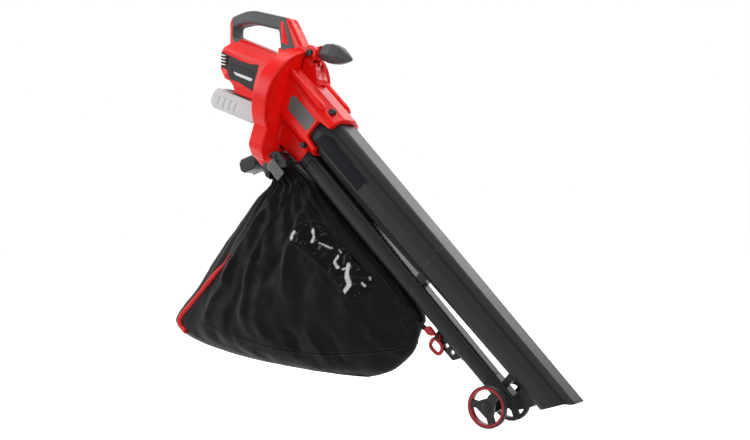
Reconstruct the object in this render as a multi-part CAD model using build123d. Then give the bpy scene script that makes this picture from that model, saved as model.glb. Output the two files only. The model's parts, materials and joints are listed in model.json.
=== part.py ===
from build123d import *
import os
from math import cos, radians, sin

# Cordless leaf vacuum mulcher, in millimetres. Origin: middle of the main grip.
# +X points forward to the nozzle, +Y to the operator's left, +Z up. Pose: held in use, tubes sloping down.

os.makedirs("parts", exist_ok=True)

# Driving dimensions
tube_slope = 44.5          # both tubes run down and forward at this angle
fan_tilt = 20.0            # motor and fan axis, below horizontal

fan_x, fan_z = 81.0, -178.0        # centre of the fan housing's round part
fan_radius = 106.5
fan_half = 21.0                    # half of the fan housing's axial width
axis_lift = 10.0                   # motor axis above that centre, so that the scroll widens downwards
chamber_radius = 101.0
chamber_rear, chamber_front = -17.0, 12.0
recess_floor = 15.0                # front face of the chamber wall, behind the rim
intake_radius = 38.0
impeller_radius = 86.0

grip_half = 18.0                   # half width of the handle loop
grip_skin = 3.5                    # thickness of the soft overmould
wall = 3.0

suction_centre = -54.0             # height of the suction tube's centre line across the tube direction
suction_start, suction_seam, suction_end = 300.0, 695.0, 1096.0
suction_sizes = [(40.0, 42.0), (36.5, 36.5), (33.0, 30.0)]      # half width, half height at those three
tube_wall = 2.5
fit_gap = 0.3                      # clearance between parts that slide into each other

blow_centre = -131.5
blow_start, blow_seam, blow_end = 313.0, 700.0, 948.0
blow_sizes = [(22.0, 21.0), (20.0, 18.5), (18.5, 16.5)]

wheel_x, wheel_z = 597.0, -801.0
wheel_radius, wheel_width = 40.0, 21.0
wheel_inner_y = 33.5               # inner face of each wheel
axle_radius = 4.0
running_gap = 0.05                 # radial clearance of a shaft in its bore

battery_half_width = 38.0
battery_rear, battery_front = -199.0, -57.0
battery_top, battery_bottom = -36.0, -82.0


# Planes that the pieces are drawn on
def fan_point(along, lift=0.0, side=0.0):
    """A point given along the motor axis, up across it, and sideways, from the fan centre."""
    a = radians(fan_tilt)
    return Vector(fan_x + along * cos(a) + lift * sin(a), side, fan_z - along * sin(a) + lift * cos(a))


def fan_plane(along, lift=0.0, side=0.0):
    """Plane square to the motor axis: local x is +Y, local y points up, local z forward."""
    a = radians(fan_tilt)
    return Plane(fan_point(along, lift, side), x_dir=(0, 1, 0), z_dir=(cos(a), 0, -sin(a)))


def fan_side(side=0.0):
    """Side view plane of the motor axis: local x along it, local y up, local z towards -Y."""
    a = radians(fan_tilt)
    return Plane(fan_point(0, 0, side), x_dir=(cos(a), 0, -sin(a)), z_dir=(0, -1, 0))


def tube_point(along, across=0.0, side=0.0):
    """A point given along the tubes, across them towards the crown, and sideways."""
    a = radians(tube_slope)
    return Vector(along * cos(a) + across * sin(a), side, -along * sin(a) + across * cos(a))


def tube_plane(along, across=0.0, side=0.0):
    """Plane square to the tubes: local x is +Y, local y points out of the crown, local z to the nozzle."""
    a = radians(tube_slope)
    return Plane(tube_point(along, across, side), x_dir=(0, 1, 0), z_dir=(cos(a), 0, -sin(a)))


def tube_side(side=0.0):
    """Side view plane of the tubes: local x along them, local y to the crown, local z towards -Y."""
    a = radians(tube_slope)
    return Plane((0, side, 0), x_dir=(cos(a), 0, -sin(a)), z_dir=(0, -1, 0))


def side_view(side=0.0):
    """Side view plane of the whole machine: local x is X, local y is Z, local z towards -Y."""
    return Plane((0, side, 0), x_dir=(1, 0, 0), z_dir=(0, -1, 0))


# Sketch helpers
def outline(corners):
    """Face through corners (x, y, radius), each rounded with its own radius."""
    points = [(x, y) for x, y, r in corners]
    return make_face(FilletPolyline(*points, radius=[r for x, y, r in corners], close=True))


def symmetric(half):
    """Face from one side's corners, top to bottom, mirrored to the other side."""
    return outline(half + [(-x, y, r) for x, y, r in reversed(half)])


def slab(plane, face, low, high):
    """The face on the plane, extruded from one height to another."""
    return extrude(plane.offset(low) * face, high - low)


def rod(plane, radius, low, high):
    return slab(plane, Circle(radius), low, high)


def tube_section(half_width, half_height):
    """Tube outline: a narrower crown set off by a groove from the bellied sides."""
    w, h = half_width, half_height
    return symmetric([
        (0.62 * w, h, 0.22 * w), (0.84 * w, 0.72 * h, 0.02 * w), (0.77 * w, 0.52 * h, 0.06 * w),
        (w, 0.0, 0.4 * w), (w, -0.62 * h, 0.2 * w), (0.72 * w, -h, 0.2 * w),
    ])


def half_space(side):
    """Everything to the operator's right (-1) or left (+1)."""
    return Pos(0, side * 1500, 0) * Box(6000, 3000, 6000)


def front_of_fan(along):
    """Everything forward of a plane square to the motor axis."""
    return slab(fan_plane(along), Rectangle(900, 900), 0, 900)


def save(name, shape):
    shape.label = name
    export_step(shape, f"parts/{name}.step")


# Fan housing: round drum with its outlet throat and bag port, split at the middle
throat = outline([
    (-78, -30, 2), (-78, -120, 22), (-54, -148, 24), (30, -150, 24), (52, -128, 20), (56, -30, 2),
])
throat_inside = outline([
    (-74, -30, 2), (-74, -119, 18), (-53, -144, 20), (30, -146, 20), (48, -127, 16), (52, -30, 2),
])
port_half, port_low, port_high, port_end = 50.0, -215.0, -169.0, 262.0
port_wall = 4.0
port_middle = (port_low + port_high) / 2


def port_section(shrink=0.0):
    width = 2 * (port_half - shrink)
    return RectangleRounded(width, port_high - port_low - 2 * shrink, 14 - shrink)


def drum_body():
    drum = slab(fan_plane(0), Circle(fan_radius) + throat, -fan_half, fan_half)
    motor_axis = Axis(fan_point(0), fan_plane(0).z_dir)
    drum = fillet(drum.faces().sort_by(motor_axis)[0].edges(), 6)
    drum = fillet(drum.faces().sort_by(motor_axis)[-1].edges(), 3)
    port = slab(tube_plane(0, port_middle), port_section(), 200, port_end)
    return drum + (port & front_of_fan(-fan_half))


duct_half, duct_low, duct_high = 24.0, -161.0, -109.0
duct_window = Pos(0, -97) * Rectangle(2 * duct_half - 8, 30)       # opening in the throat's front wall

fan_outer = drum_body()
fan_recess = Circle(99) - Pos(0, -80) * Rectangle(2 * duct_half + 6, 70)
fan_rim = fan_outer - slab(fan_plane(0), fan_recess, recess_floor, 60)


def fan_housing():
    body = fan_rim - slab(fan_plane(0), Circle(chamber_radius) + throat_inside, chamber_rear, chamber_front)
    port = slab(tube_plane(0, port_middle), port_section(port_wall), 200, port_end + 5)
    body -= port & front_of_fan(chamber_rear)
    body -= rod(fan_plane(0, axis_lift), intake_radius, chamber_front - 1, 60)
    body -= rod(fan_plane(0, axis_lift), 11.0, -60, chamber_rear + 1)
    body -= slab(fan_plane(0), duct_window, chamber_front - 1, 60)
    body -= rod(flap_axis(), flap_shaft_radius + running_gap, -64, 76.3)
    body -= eye_plate(0.0)
    body -= rod(side_view_at(hub_x, hub_z), tongue_radius + 0.7, -fork_half, fork_half)
    return body + latch_catch()


# Diverter: flap inside the throat, its shaft, and the selector lever on the left
flap_along, flap_lift = 5.0, -116.0
flap_length, flap_thick = 32.5, 3.0
flap_rest_angle = 38.0             # leans back to the rear wall: air goes to the blow duct
flap_shaft_radius = 4.0
lever_drop = 16.0                  # the lever points back and down by this angle
lever_length = 127.0


def flap_axis(side=0.0):
    return Plane(fan_point(flap_along, flap_lift, side), x_dir=(1, 0, 0), z_dir=(0, -1, 0))


def diverter():
    shaft = rod(flap_axis(), flap_shaft_radius, -64.0, 76.0)
    blade = Pos(0, flap_length / 2) * Rectangle(flap_thick, flap_length)
    blade = Rot(0, 0, flap_rest_angle - fan_tilt) * blade
    flap = slab(flap_axis(), blade + Circle(6.5), -44.0, 68.0)
    flap -= rod(flap_axis(), flap_shaft_radius, -60, 80)
    arm = Rot(0, 0, 180 + lever_drop) * (Pos(lever_length / 2 - 12, 0) * SlotOverall(lever_length - 8, 16))
    lever = slab(flap_axis(), arm + Circle(13), -64.0, -57.0)
    grip = Rot(0, 0, 180 + lever_drop) * (Pos(lever_length - 12, 0) * Rectangle(48, 32))
    block = slab(flap_axis(), grip, -56.99, -16.0)
    block = chamfer(block.edges().filter_by(Axis.Y), 8)
    block = fillet(block.faces().sort_by(Axis.Y)[0].edges(), 2)
    lever = lever + slab(flap_axis(), grip, -64.0, -56.5) + block
    lever -= rod(flap_axis(), flap_shaft_radius, -70, 80)
    return shaft, flap, lever


# Blow duct: from the throat's front wall to the blow tube
def duct_section(along, low, high, shrink=0.0):
    half = duct_half - shrink - (along - 215) * 0.012
    middle, height = (low + high) / 2, high - low - 2 * shrink
    return tube_plane(along, middle) * RectangleRounded(2 * half, height, 9 - shrink)


def blow_duct():
    outer = loft([duct_section(215, duct_low, duct_high), duct_section(blow_start, -152, -111)], ruled=True)
    inner = loft([duct_section(215, duct_low, duct_high, 4), duct_section(blow_start + 1, -152, -111, 4)],
                 ruled=True)
    body = (outer - inner) & front_of_fan(0)
    return body - fan_outer - slab(fan_plane(0), fan_recess, 0, fan_half)


# Intake neck: from the drum's front wall down to a socket round the suction tube
neck_middle, neck_half, neck_height = -52.5, 49.0, 51.5
neck_end = 340.0
neck_notch_start, notch_low, notch_high = 305.0, -80.0, -36.0
plate_start, plate_end, plate_low, plate_high = 214.0, 300.0, -73.0, -39.0
plate_depth = 1.5
bead_radius = 7.5
bead_across = -10.0


def neck_section(shrink=0.0):
    w, h, s = neck_half, neck_height, shrink
    return symmetric([
        (19, h - s, 6), (w - 7 - s, h - 13 - s, 6), (w - s, h - 24 - s, 5), (w - s, -h + 14 + s, 8),
        (w - 14 - s, -h + s, 8),
    ])


def neck_shape():
    """The neck's outside, filled."""
    body = slab(tube_plane(0, neck_middle), neck_section(), 120, neck_end)
    body = fillet(body.faces().sort_by(Axis((0, 0, 0), tube_plane(0).z_dir))[-1].edges(), 2)
    for side in (-1, 1):
        bead = rod(tube_plane(0, bead_across, side * (neck_half - 5.5)), bead_radius, 120, 305)
        body += fillet(bead.faces().sort_by(Axis((0, 0, 0), tube_plane(0).z_dir))[-1].edges(), 4)
    return (body & front_of_fan(recess_floor)) - fan_rim


neck_outer = neck_shape()


def intake_neck():
    body = neck_outer - slab(tube_plane(0, neck_middle), neck_section(4.5), 100, suction_start - 4)
    w, h = suction_sizes[0]
    body -= slab(tube_plane(0, suction_centre), tube_section(w + fit_gap, h + fit_gap), 250, neck_end + 5)
    notch = outline([
        (neck_notch_start, notch_low, 8), (neck_notch_start, notch_high, 8),
        (neck_end + 9, notch_high + 9, 1), (neck_end + 9, notch_low - 5, 1),
    ])
    plate = outline([
        (plate_start, plate_high - 12, 4), (plate_start + 6, plate_high, 4), (plate_end, plate_high, 5),
        (plate_end, plate_low, 5), (plate_start + 12, plate_low, 4),
    ])
    body -= slab(tube_side(), notch, -90, 90)
    plate_solid = slab(tube_side(), plate, neck_half - plate_depth, neck_half + 0.01)
    body -= slab(tube_side(), plate, neck_half - plate_depth, neck_half + 6)
    for height, seat in knob_places:
        body -= rod(tube_side_at(knob_along, height), knob_shank + running_gap, seat - 15, 90)
        body -= rod(tube_side_at(knob_along, height), knob_head + 0.8, seat - 0.3, 90)
    return body, plate_solid & slab(tube_side(), plate, neck_half - plate_depth, neck_half - 0.3)


knob_along = 311.0
knob_places = ((-5.0, 26.0), (-100.0, 41.0))       # height across the tube, and distance to the right
knob_shank, knob_head = 2.5, 6.5


def tube_side_at(along, across, side=0.0):
    """Side view plane with its origin at a point of the tube frame."""
    return Plane(tube_point(along, across, side), x_dir=tube_side().x_dir, z_dir=(0, -1, 0))


# Suction tube: two telescoped mouldings that taper to a slanted mouth
def tapered(along_from, along_to, size_from, size_to, centre, shrink=0.0):
    sections = [
        tube_plane(along_from, centre) * tube_section(size_from[0] - shrink, size_from[1] - shrink),
        tube_plane(along_to, centre) * tube_section(size_to[0] - shrink, size_to[1] - shrink),
    ]
    return loft(sections, ruled=True)


def spigot(seam, size, centre):
    """Thin sleeve that carries the next tube section."""
    inner = tube_section(size[0] - tube_wall - 2.2, size[1] - tube_wall - 2.2)
    sleeve = tube_section(size[0] - tube_wall - 0.4, size[1] - tube_wall - 0.4) - inner
    root = tube_section(size[0] - 1.2, size[1] - 1.2) - inner
    across = tube_plane(0, centre)
    return slab(across, sleeve, seam, seam + 24) + slab(across, root, seam - 8, seam)


def suction_tubes():
    top, seam, end = suction_sizes
    upper = tapered(suction_start, suction_seam, top, seam, suction_centre)
    upper -= tapered(suction_start, suction_seam, top, seam, suction_centre, tube_wall)
    upper += spigot(suction_seam, seam, suction_centre)
    lower = tapered(suction_seam, suction_end, seam, end, suction_centre)
    lower -= tapered(suction_seam, suction_end, seam, end, suction_centre, tube_wall)
    mouth = outline([
        (1052, -92, 0), (1200, -92, 0), (1200, 0, 0), (1094, 0, 0), (1095, -24, 22), (1080, -38, 40),
    ])
    lower -= slab(tube_side(), mouth, -90, 90)
    return upper, lower


def blow_tubes():
    top, seam, end = blow_sizes
    collar = tapered(blow_start, blow_start + 18, (23, 22), (23, 22), blow_centre)
    collar -= tapered(blow_start - 1, blow_start + 19, (20, 19), (20, 19), blow_centre)
    upper = tapered(blow_start + 18, blow_seam, top, seam, blow_centre)
    upper -= tapered(blow_start + 18, blow_seam, top, seam, blow_centre, tube_wall)
    upper += spigot(blow_seam, seam, blow_centre)
    lower = tapered(blow_seam, blow_end, seam, end, blow_centre)
    lower -= tapered(blow_seam, blow_end, seam, end, blow_centre, tube_wall)
    return collar, upper, lower


# Handle and motor housing, moulded as two halves
def loop_face(inset=0.0):
    """Side view of the handle loop's outside."""
    i = inset
    return outline([
        (-89 + i, -96, 14), (-89 + i, 13 - i, 20 - i), (-27, 25 - i, 110), (86 - i, -7 - i, 15 - i),
        (128 - i, -80, 8), (60, -124, 14),
    ])


def window_face(lining=0.0):
    """Side view of the hand opening; the lining widens it at its two upright ends."""
    e = lining
    return outline([
        (-75 - e, -30 - e, 9), (-75 - e, -9, 9), (-26, -6, 90), (57 + e, -30, 10), (64 + e, -86 - e, 9),
    ])


web_face = outline([
    (58, -70, 2), (104, -70, 4), (128, -73, 4), (161, -102, 6), (161, -130, 12), (168, -152, 12),
    (150, -176, 3), (58, -170, 3),
])
hub_x, hub_z, hub_radius = 145.0, -89.0, 17.0      # front grip's pivot
body_profile = outline([
    (-40, 60, 1), (-64, -40, 6), (-89, -72, 10), (-89, -107, 9), (-77, -129, 6), (-62, -137, 2),
    (-57, -163, 4), (-43, -230, 1), (200, -300, 1), (200, 60, 1),
])


def body_section(shrink=0.0):
    s = shrink
    return symmetric([
        (20, 81 - s, 14), (42.5 - s, 58.5 - s, 1), (45 - s, 57 - s, 1), (45 - s, -8 + s, 4), (35 - s, -20 + s, 4),
        (34 - s, -34 + s, 4),
    ])


def handle_loop():
    ring = extrude(side_view() * (loop_face() - window_face()), grip_half, both=True)
    edges = ring.faces().sort_by(Axis.Y)[0].edges() + ring.faces().sort_by(Axis.Y)[-1].edges()
    return fillet(edges, 6)


def handle_core():
    """The hard core that the soft overmould is moulded on."""
    ring = loop_face(grip_skin) - window_face(grip_skin)
    web = extrude(side_view() * web_face, grip_half - grip_skin, both=True)
    return extrude(side_view() * ring, grip_half - grip_skin, both=True) + web


grip_zone = make_face(Polyline(
    (-79, 40), (-79, -37), (-68, -48), (-56, -48), (-56, -33), (-68, -24), (-68, -14), (-26, -12), (52, -36),
    (56, -70), (66, -73), (91, -80), (107, -87), (130, -96), (158, -112), (163, -104), (142, -88), (122, -82),
    (104, -75), (93, -46), (80, -8), (76, 40), close=True,
))
post_panel = make_face(Polyline((63, -13), (72, -13), (86, -66), (68, -60), close=True))


def grip_zone_solid():
    """Where the soft overmould lies; on the right a hard panel shows through it on the front post."""
    return extrude(side_view() * grip_zone, 40, both=True) - slab(side_view(), post_panel, 0, 40)


def handle_housing():
    """Handle, motor housing and front web as one hollow moulding, clear of the fan housing and neck."""
    web = extrude(side_view() * web_face, grip_half, both=True)
    ears = extrude(side_view() * (Pos(hub_x, hub_z) * Circle(hub_radius)), grip_half, both=True)
    motor = slab(fan_plane(0), body_section(), -210, -fan_half)
    motor &= extrude(side_view() * body_profile, 60, both=True)
    body = handle_loop() + web + ears + motor
    body -= grip_zone_solid() - handle_core()
    inside = slab(fan_plane(0), body_section(wall), -205, -fan_half)
    inside &= extrude(side_view() * offset(body_profile, -wall), 60, both=True)
    body -= inside & slab(fan_side(), Pos(-100, 0) * Rectangle(200, 132), -60, 60)
    body -= fan_outer
    body -= neck_outer
    fork = Pos(hub_x, hub_z) * Circle(hub_radius + 1) + Pos(hub_x + 20, hub_z) * Rectangle(40, 60)
    body -= extrude(side_view() * fork, fork_half, both=True)
    swing = Pos(hub_x, hub_z) * (Circle(28.5) - Circle(hub_radius))
    swing &= Pos(hub_x + 19, hub_z - 25) * Rectangle(30, 40)
    body -= extrude(side_view() * swing, 40, both=True)
    body -= rod(side_view_at(hub_x, hub_z), hub_pin + running_gap, -40, 40)
    slit = Plane((96, 8, -25), x_dir=(0.5, 0, -0.866), z_dir=(0.866, 0, 0.5)) * SlotOverall(15, 4)
    return body - switch_cavity() - extrude(slit, 5, both=True)


fork_half = 11.0
hub_pin = 3.0
tongue_radius = 14.5
panel_depth = 2.5


def side_view_at(x, z, side=0.0):
    """Side view plane with its origin at a point."""
    return Plane((x, side, z), x_dir=(1, 0, 0), z_dir=(0, -1, 0))


def soft_grip():
    """Soft overmould: over the bar, round the hand opening, down the front post and along the web."""
    web = extrude(side_view() * web_face, grip_half, both=True)
    skin = (handle_loop() + web) & grip_zone_solid()
    bolt_seat = rod(side_view_at(hub_x, hub_z), 8.2, -40, 40)
    skin -= handle_core() + fan_outer + neck_outer + bolt_seat + switch_cavity()
    return skin.solids().sort_by(SortBy.VOLUME)[-1]


# Controls on the left of the front post, where the thumb reaches
dial_x, dial_z, dial_radius, dial_thick = 76.0, -27.0, 9.0, 7.0
slider_x, slider_z = 82.0, -57.0
slider_travel = 6.0


def switch_cavity():
    """Room in the front post for the switch, and the openings for its dial and slider."""
    room = Pos(81, 0, -58) * Box(20, 18, 34)
    dial = rod(side_view_at(dial_x, dial_z), dial_radius + 0.4, -grip_half - 1, -grip_half + 6)
    dial += rod(side_view_at(dial_x, dial_z), 2 + running_gap, -grip_half + 5, -grip_half + 13)
    slot = Pos(slider_x, grip_half - 4, slider_z) * Box(9, 12, 24)
    return room + dial + slot


def controls():
    dial = rod(side_view_at(dial_x, dial_z), dial_radius, -grip_half - 2.5, -grip_half + 5.6)
    teeth = Sketch() + [spot * Circle(1.0) for spot in PolarLocations(dial_radius + 0.3, 12)]
    dial -= slab(side_view_at(dial_x, dial_z), teeth, -grip_half - 3, -grip_half - 0.2)
    dial += rod(side_view_at(dial_x, dial_z), 2, -grip_half + 5.6, -grip_half + 12)
    slider = Pos(slider_x, grip_half - 1.5, slider_z - 3) * Box(8, 8, 16)
    slider = chamfer(slider.faces().sort_by(Axis.Y)[-1].edges(), 1.2)
    slider += Pos(slider_x, 8.8, slider_z - 3) * Box(4, 7.4, 4)
    switch = Pos(81, -1.5, -58) * Box(20, 13, 30)
    return dial, slider, switch


# Side panels with cooling slots, let into both sides of the motor housing
panel_face = outline([
    (-196, 46, 1), (-134, 41, 4), (-100, 42, 4), (-76, 47, 2), (-76, -13, 2), (-117, -6, 4), (-150, -6, 6),
    (-164, 11, 5), (-196, 14, 1),
])
inset_face = outline([(-157, 29, 1), (-84, 28, 1), (-84, 2, 1), (-134, 4, 1), (-150, 13, 2)])
slot_face = Sketch() + [Pos(-182, 19.5 + 6.5 * i) * RectangleRounded(30, 3.0, 1.4) for i in range(4)]


def side_panel(side):
    body = slab(fan_side(), panel_face, 45 - panel_depth, 45.0)
    body &= extrude(side_view() * offset(body_profile, -0.3), 60, both=True)
    body -= slab(fan_side(), inset_face, 45 - 1.2, 46)
    body -= slab(fan_side(), slot_face, 30, 60)
    return body if side < 0 else mirror(body, Plane.XZ)


def panel_pockets():
    pocket = slab(fan_side(), panel_face, 45 - panel_depth, 70)
    slots = slab(fan_side(), slot_face, 30, 60)
    return pocket + mirror(pocket, Plane.XZ) + slots + mirror(slots, Plane.XZ)


# Motor, impeller and shredder blade on one axis
motor_rear, motor_front = -88.0, -fan_half
can_radius, can_wall = 28.0, 2.0
shaft_radius = 4.0
bearing_radius = 10.0
blade_count = 9
impeller_rear, impeller_front = -14.0, 8.0


def motor_plane(along=0.0):
    return fan_plane(along, axis_lift)


def motor_parts():
    can = rod(motor_plane(), can_radius, motor_rear, motor_front)
    can -= rod(motor_plane(), can_radius - can_wall, motor_rear + can_wall, motor_front - can_wall)
    can -= rod(motor_plane(), bearing_radius, motor_rear - 1, motor_front + 1)
    vents = Sketch() + [spot * RectangleRounded(5, 11, 2) for spot in PolarLocations(19, 8)]
    can -= slab(motor_plane(), vents, motor_rear - 1, motor_rear + can_wall + 1)
    slots = Sketch() + [spot * Rectangle(9, 3) for spot in PolarLocations(18, 6)]
    stator = slab(motor_plane(), Circle(can_radius - can_wall) - Circle(14.5) - slots, -76, -36)
    rear_bearing = slab(motor_plane(), Circle(bearing_radius) - Circle(shaft_radius + running_gap), -88, -81)
    front_bearing = slab(motor_plane(), Circle(bearing_radius) - Circle(shaft_radius + running_gap), -28, -21)
    rotor = slab(motor_plane(), Circle(14.0) - Circle(shaft_radius), -74, -38)
    shaft = rod(motor_plane(), shaft_radius, -90, 17)
    return can, stator, rear_bearing, front_bearing, rotor, shaft


def impeller():
    """Back plate, hub and swept blades with rising front edges."""
    plate = slab(motor_plane(), Circle(impeller_radius) - Circle(shaft_radius), impeller_rear, impeller_rear + 2.5)
    hub = slab(motor_plane(), Circle(16) - Circle(shaft_radius), impeller_rear, impeller_front - 4)
    sweep_line = ThreePointArc((14, 0), (50, 9), (impeller_radius - 1, 0))
    blade = make_face(
        sweep_line + Line((impeller_radius - 1, 0), (impeller_radius - 1, 2.4))
        + ThreePointArc((impeller_radius - 1, 2.4), (50, 11.4), (14, 2.4)) + Line((14, 2.4), (14, 0))
    )
    blades = Sketch() + [spot * blade for spot in PolarLocations(0, blade_count)]
    ribs = slab(motor_plane(), blades, impeller_rear + 2, impeller_front)
    entry = Cone(22, 44, 9, align=(Align.CENTER, Align.CENTER, Align.MAX))
    ribs -= motor_plane(impeller_front + 0.01) * entry
    ribs -= rod(motor_plane(), shaft_radius, -30, 30)
    return plate + hub + ribs


def shredder():
    """Two-armed steel blade in front of the impeller, held by the shaft nut."""
    arm = SlotOverall(62, 13)
    bar = slab(motor_plane(), arm - Circle(shaft_radius), impeller_front - 4, impeller_front - 1.5)
    bar = chamfer(bar.edges().filter_by(GeomType.LINE).sort_by(Axis(fan_point(0), motor_plane().z_dir))[-2:], 1)
    nut = RegularPolygon(7.5, 6) - Circle(shaft_radius)
    nut = slab(motor_plane(), nut, impeller_front - 1.5, impeller_front + 6)
    return bar, nut


def control_board():
    board = slab(fan_side(), Pos(-120, 44) * Rectangle(70, 1.6), 3.0 - 45, 45 - 3.0)
    board += slab(fan_side(), Pos(-128, 50.8) * Rectangle(22, 12), -9, 9)
    board += slab(fan_side(), Pos(-103, 49.8) * Rectangle(14, 10), 8, 22)
    board += slab(fan_side(), Pos(-103, 48.8) * Rectangle(20, 8), -24, -4)
    return board


# Battery, its rails under the motor housing, and the terminal block
rail_inner, rail_outer, rail_lip, rail_drop = 26.0, 29.5, 33.0, 10.0


def battery_mount():
    plate = slab(fan_side(), Pos(-83, -35.0) * Rectangle(116, 2), -33.9, 33.9)
    rails = Sketch()
    for side in (-1, 1):
        rails += Pos(side * (rail_inner + rail_outer) / 2, -36 - rail_drop / 2) * Rectangle(3.5, rail_drop + 1)
        rails += Pos(side * (rail_inner + rail_lip) / 2, -36 - rail_drop + 1.5) * Rectangle(7, 3)
    body = plate + slab(fan_plane(0), rails, -140, -62)
    return body & front_of_fan(-142)


def terminal_block():
    block = slab(fan_side(), Pos(-118, -40.4) * Rectangle(22, 8.8), -13, 13)
    slots = Sketch() + [Pos(x, -42) * Rectangle(1.2, 8) for x in (-9, -3, 3, 9)]
    return block - slab(fan_plane(0), slots, -131, -112)


def battery():
    middle = (battery_rear + battery_front) / 2
    side = outline([
        (battery_rear, battery_bottom + 12, 5), (battery_rear + 3, battery_top - 12, 6),
        (battery_rear + 12, battery_top, 6), (battery_front, battery_top, 2),
        (battery_front, battery_bottom + 4, 3), (battery_front - 6, battery_bottom, 3),
        (battery_rear + 12, battery_bottom, 6),
    ])
    body = slab(fan_side(), side, -battery_half_width, battery_half_width)
    body = fillet(body.faces().sort_by(Axis.Y)[0].edges() + body.faces().sort_by(Axis.Y)[-1].edges(), 3)
    body -= slab(fan_side(), Pos(-90, battery_top) * Rectangle(140, 1.0), -60, 60) & front_of_fan(-143)
    gap = 0.4
    grooves = Sketch()
    for sign in (-1, 1):
        grooves += Pos(sign * (rail_inner + rail_outer) / 2, -41.5) * Rectangle(3.5 + 2 * gap, 11 + 2 * gap)
        grooves += Pos(sign * (rail_inner + rail_lip) / 2, -44.5) * Rectangle(7 + 2 * gap, 3 + 2 * gap)
    body -= slab(fan_plane(0), grooves, -141, battery_front + 1)
    body -= slab(fan_side(), Pos(-94, -40.5) * Rectangle(76, 9.8), -13.5, 13.5)
    pocket = Pos(battery_rear + 26, battery_top) * Rectangle(24.8, 12)
    body -= slab(fan_side(), pocket, -14.4, 14.4)
    for x in (-170, -152, -134, -116):
        groove = slab(fan_side(), Pos(x, -62) * RectangleRounded(9, 22, 3), battery_half_width - 1, 60)
        body -= groove + mirror(groove, Plane.XZ)
    return body


def battery_button():
    key = slab(fan_side(), Pos(battery_rear + 26, battery_top - 0.7) * Rectangle(24, 3.4), -14, 14)
    ridges = Sketch() + [Pos(battery_rear + 19 + 3.5 * i, battery_top + 1) * Rectangle(1.4, 1.4) for i in range(5)]
    return key + slab(fan_side(), ridges, -10, 10)


# Front grip on its pivot in the web
grip_tilt = 15.0


def front_grip_plane(along=0.0):
    """Plane square to the front grip's length, at a distance from its pivot."""
    a = radians(grip_tilt)
    return Plane((hub_x + along * cos(a), 0, hub_z - along * sin(a)), x_dir=(0, 1, 0), z_dir=(cos(a), 0, -sin(a)))


def front_grip():
    tongue = rod(side_view_at(hub_x, hub_z), tongue_radius, -fork_half + 0.4, fork_half - 0.4)
    neck = slab(front_grip_plane(), Pos(0, 2) * RectangleRounded(20, 22, 4), 4, 19)
    flange = slab(front_grip_plane(), Pos(0, 6) * RectangleRounded(30, 28, 8), 17.8, 21)
    yoke = tongue + neck + flange - rod(side_view_at(hub_x, hub_z), hub_pin + running_gap, -40, 40)
    sizes = [(21, 26, 28, 6.5), (33, 36, 38, 8), (52, 42, 45, 8.5), (70, 36, 41, 8), (88, 21, 27, 6.5), (102, 6, 8, 5.5)]
    sections = [
        front_grip_plane(along) * (Pos(0, rise) * hexagonal(width, height))
        for along, height, width, rise in sizes
    ]
    return yoke, loft(sections, ruled=True)


def hexagonal(width, height):
    """Six-sided grip section with its widest line below mid height and softened corners."""
    w, h = width / 2, height / 2
    return symmetric([(0.55 * w, h, 0.16 * h), (w, -0.2 * h, 0.12 * h), (0.5 * w, -h, 0.16 * h)])


def pivot_bolt():
    bolt = rod(side_view_at(hub_x, hub_z), hub_pin, -grip_half - 1, grip_half + 1)
    head = slab(side_view_at(hub_x, hub_z), Circle(8), grip_half, grip_half + 4)
    recess = slab(side_view_at(hub_x, hub_z), RegularPolygon(3.4, 6), grip_half + 2, grip_half + 5)
    nut = slab(side_view_at(hub_x, hub_z), RegularPolygon(6.5, 6), -grip_half - 4, -grip_half)
    return bolt + fillet(head.faces().sort_by(Axis.Y)[0].edges(), 1.5) + nut - recess


# Clamp knobs that hold the suction tube in the neck
def clamp_knob(height, seat):
    axis = tube_side_at(knob_along, height)
    head = rod(axis, knob_head, seat, seat + 12)
    head = fillet(head.faces().sort_by(Axis.Y)[0].edges(), 1.5)
    flutes = Sketch() + [spot * Circle(1.5) for spot in PolarLocations(knob_head + 0.6, 8)]
    head -= slab(axis, flutes, seat + 2, seat + 13)
    return head + rod(axis, knob_shank, seat - 14, seat)


# Steel eye for the shoulder strap, let into the rim of the fan housing on the left
eye_seat, eye_centre, eye_end = 102.5, 116.0, 125.0
eye_hole, eye_thick = 4.5, 4.0


def eye_plate(hole):
    length = eye_end - eye_seat
    face = Pos((eye_seat + eye_end) / 2, 0) * RectangleRounded(length, 20, 6)
    face += Pos(eye_seat + 5, 0) * Rectangle(10, 20)
    plate = slab(fan_plane(0), face, 0, eye_thick)
    return plate - slab(fan_plane(0), Pos(eye_centre, 0) * Circle(hole), -1, 6) if hole else plate


# Bag port: collar, latch lever with its bracket and pin
collar_half, collar_low, collar_high = 54.0, -220.0, -164.0
collar_end = 290.0
latch_pivot, latch_side = 288.0, 58.0               # hinge of the latch: along the tubes, and to the right
latch_middle = -184.0
latch_pin = 1.5
nib_along = 278.0


def latch_catch():
    """Tongue beside the collar on the right, with a hole that the latch's nib drops into."""
    tongue = Pos(267.5, 0) * Rectangle(33, 14) - Pos(nib_along, 0) * Rectangle(5.8, 9.2)
    return slab(tube_side_at(0, latch_middle), tongue, 54.2, 55.6)


def collar_outer():
    middle, high = (collar_low + collar_high) / 2, collar_high - collar_low
    return slab(tube_plane(0, middle), RectangleRounded(2 * collar_half, high, 16), port_end, collar_end)


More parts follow.
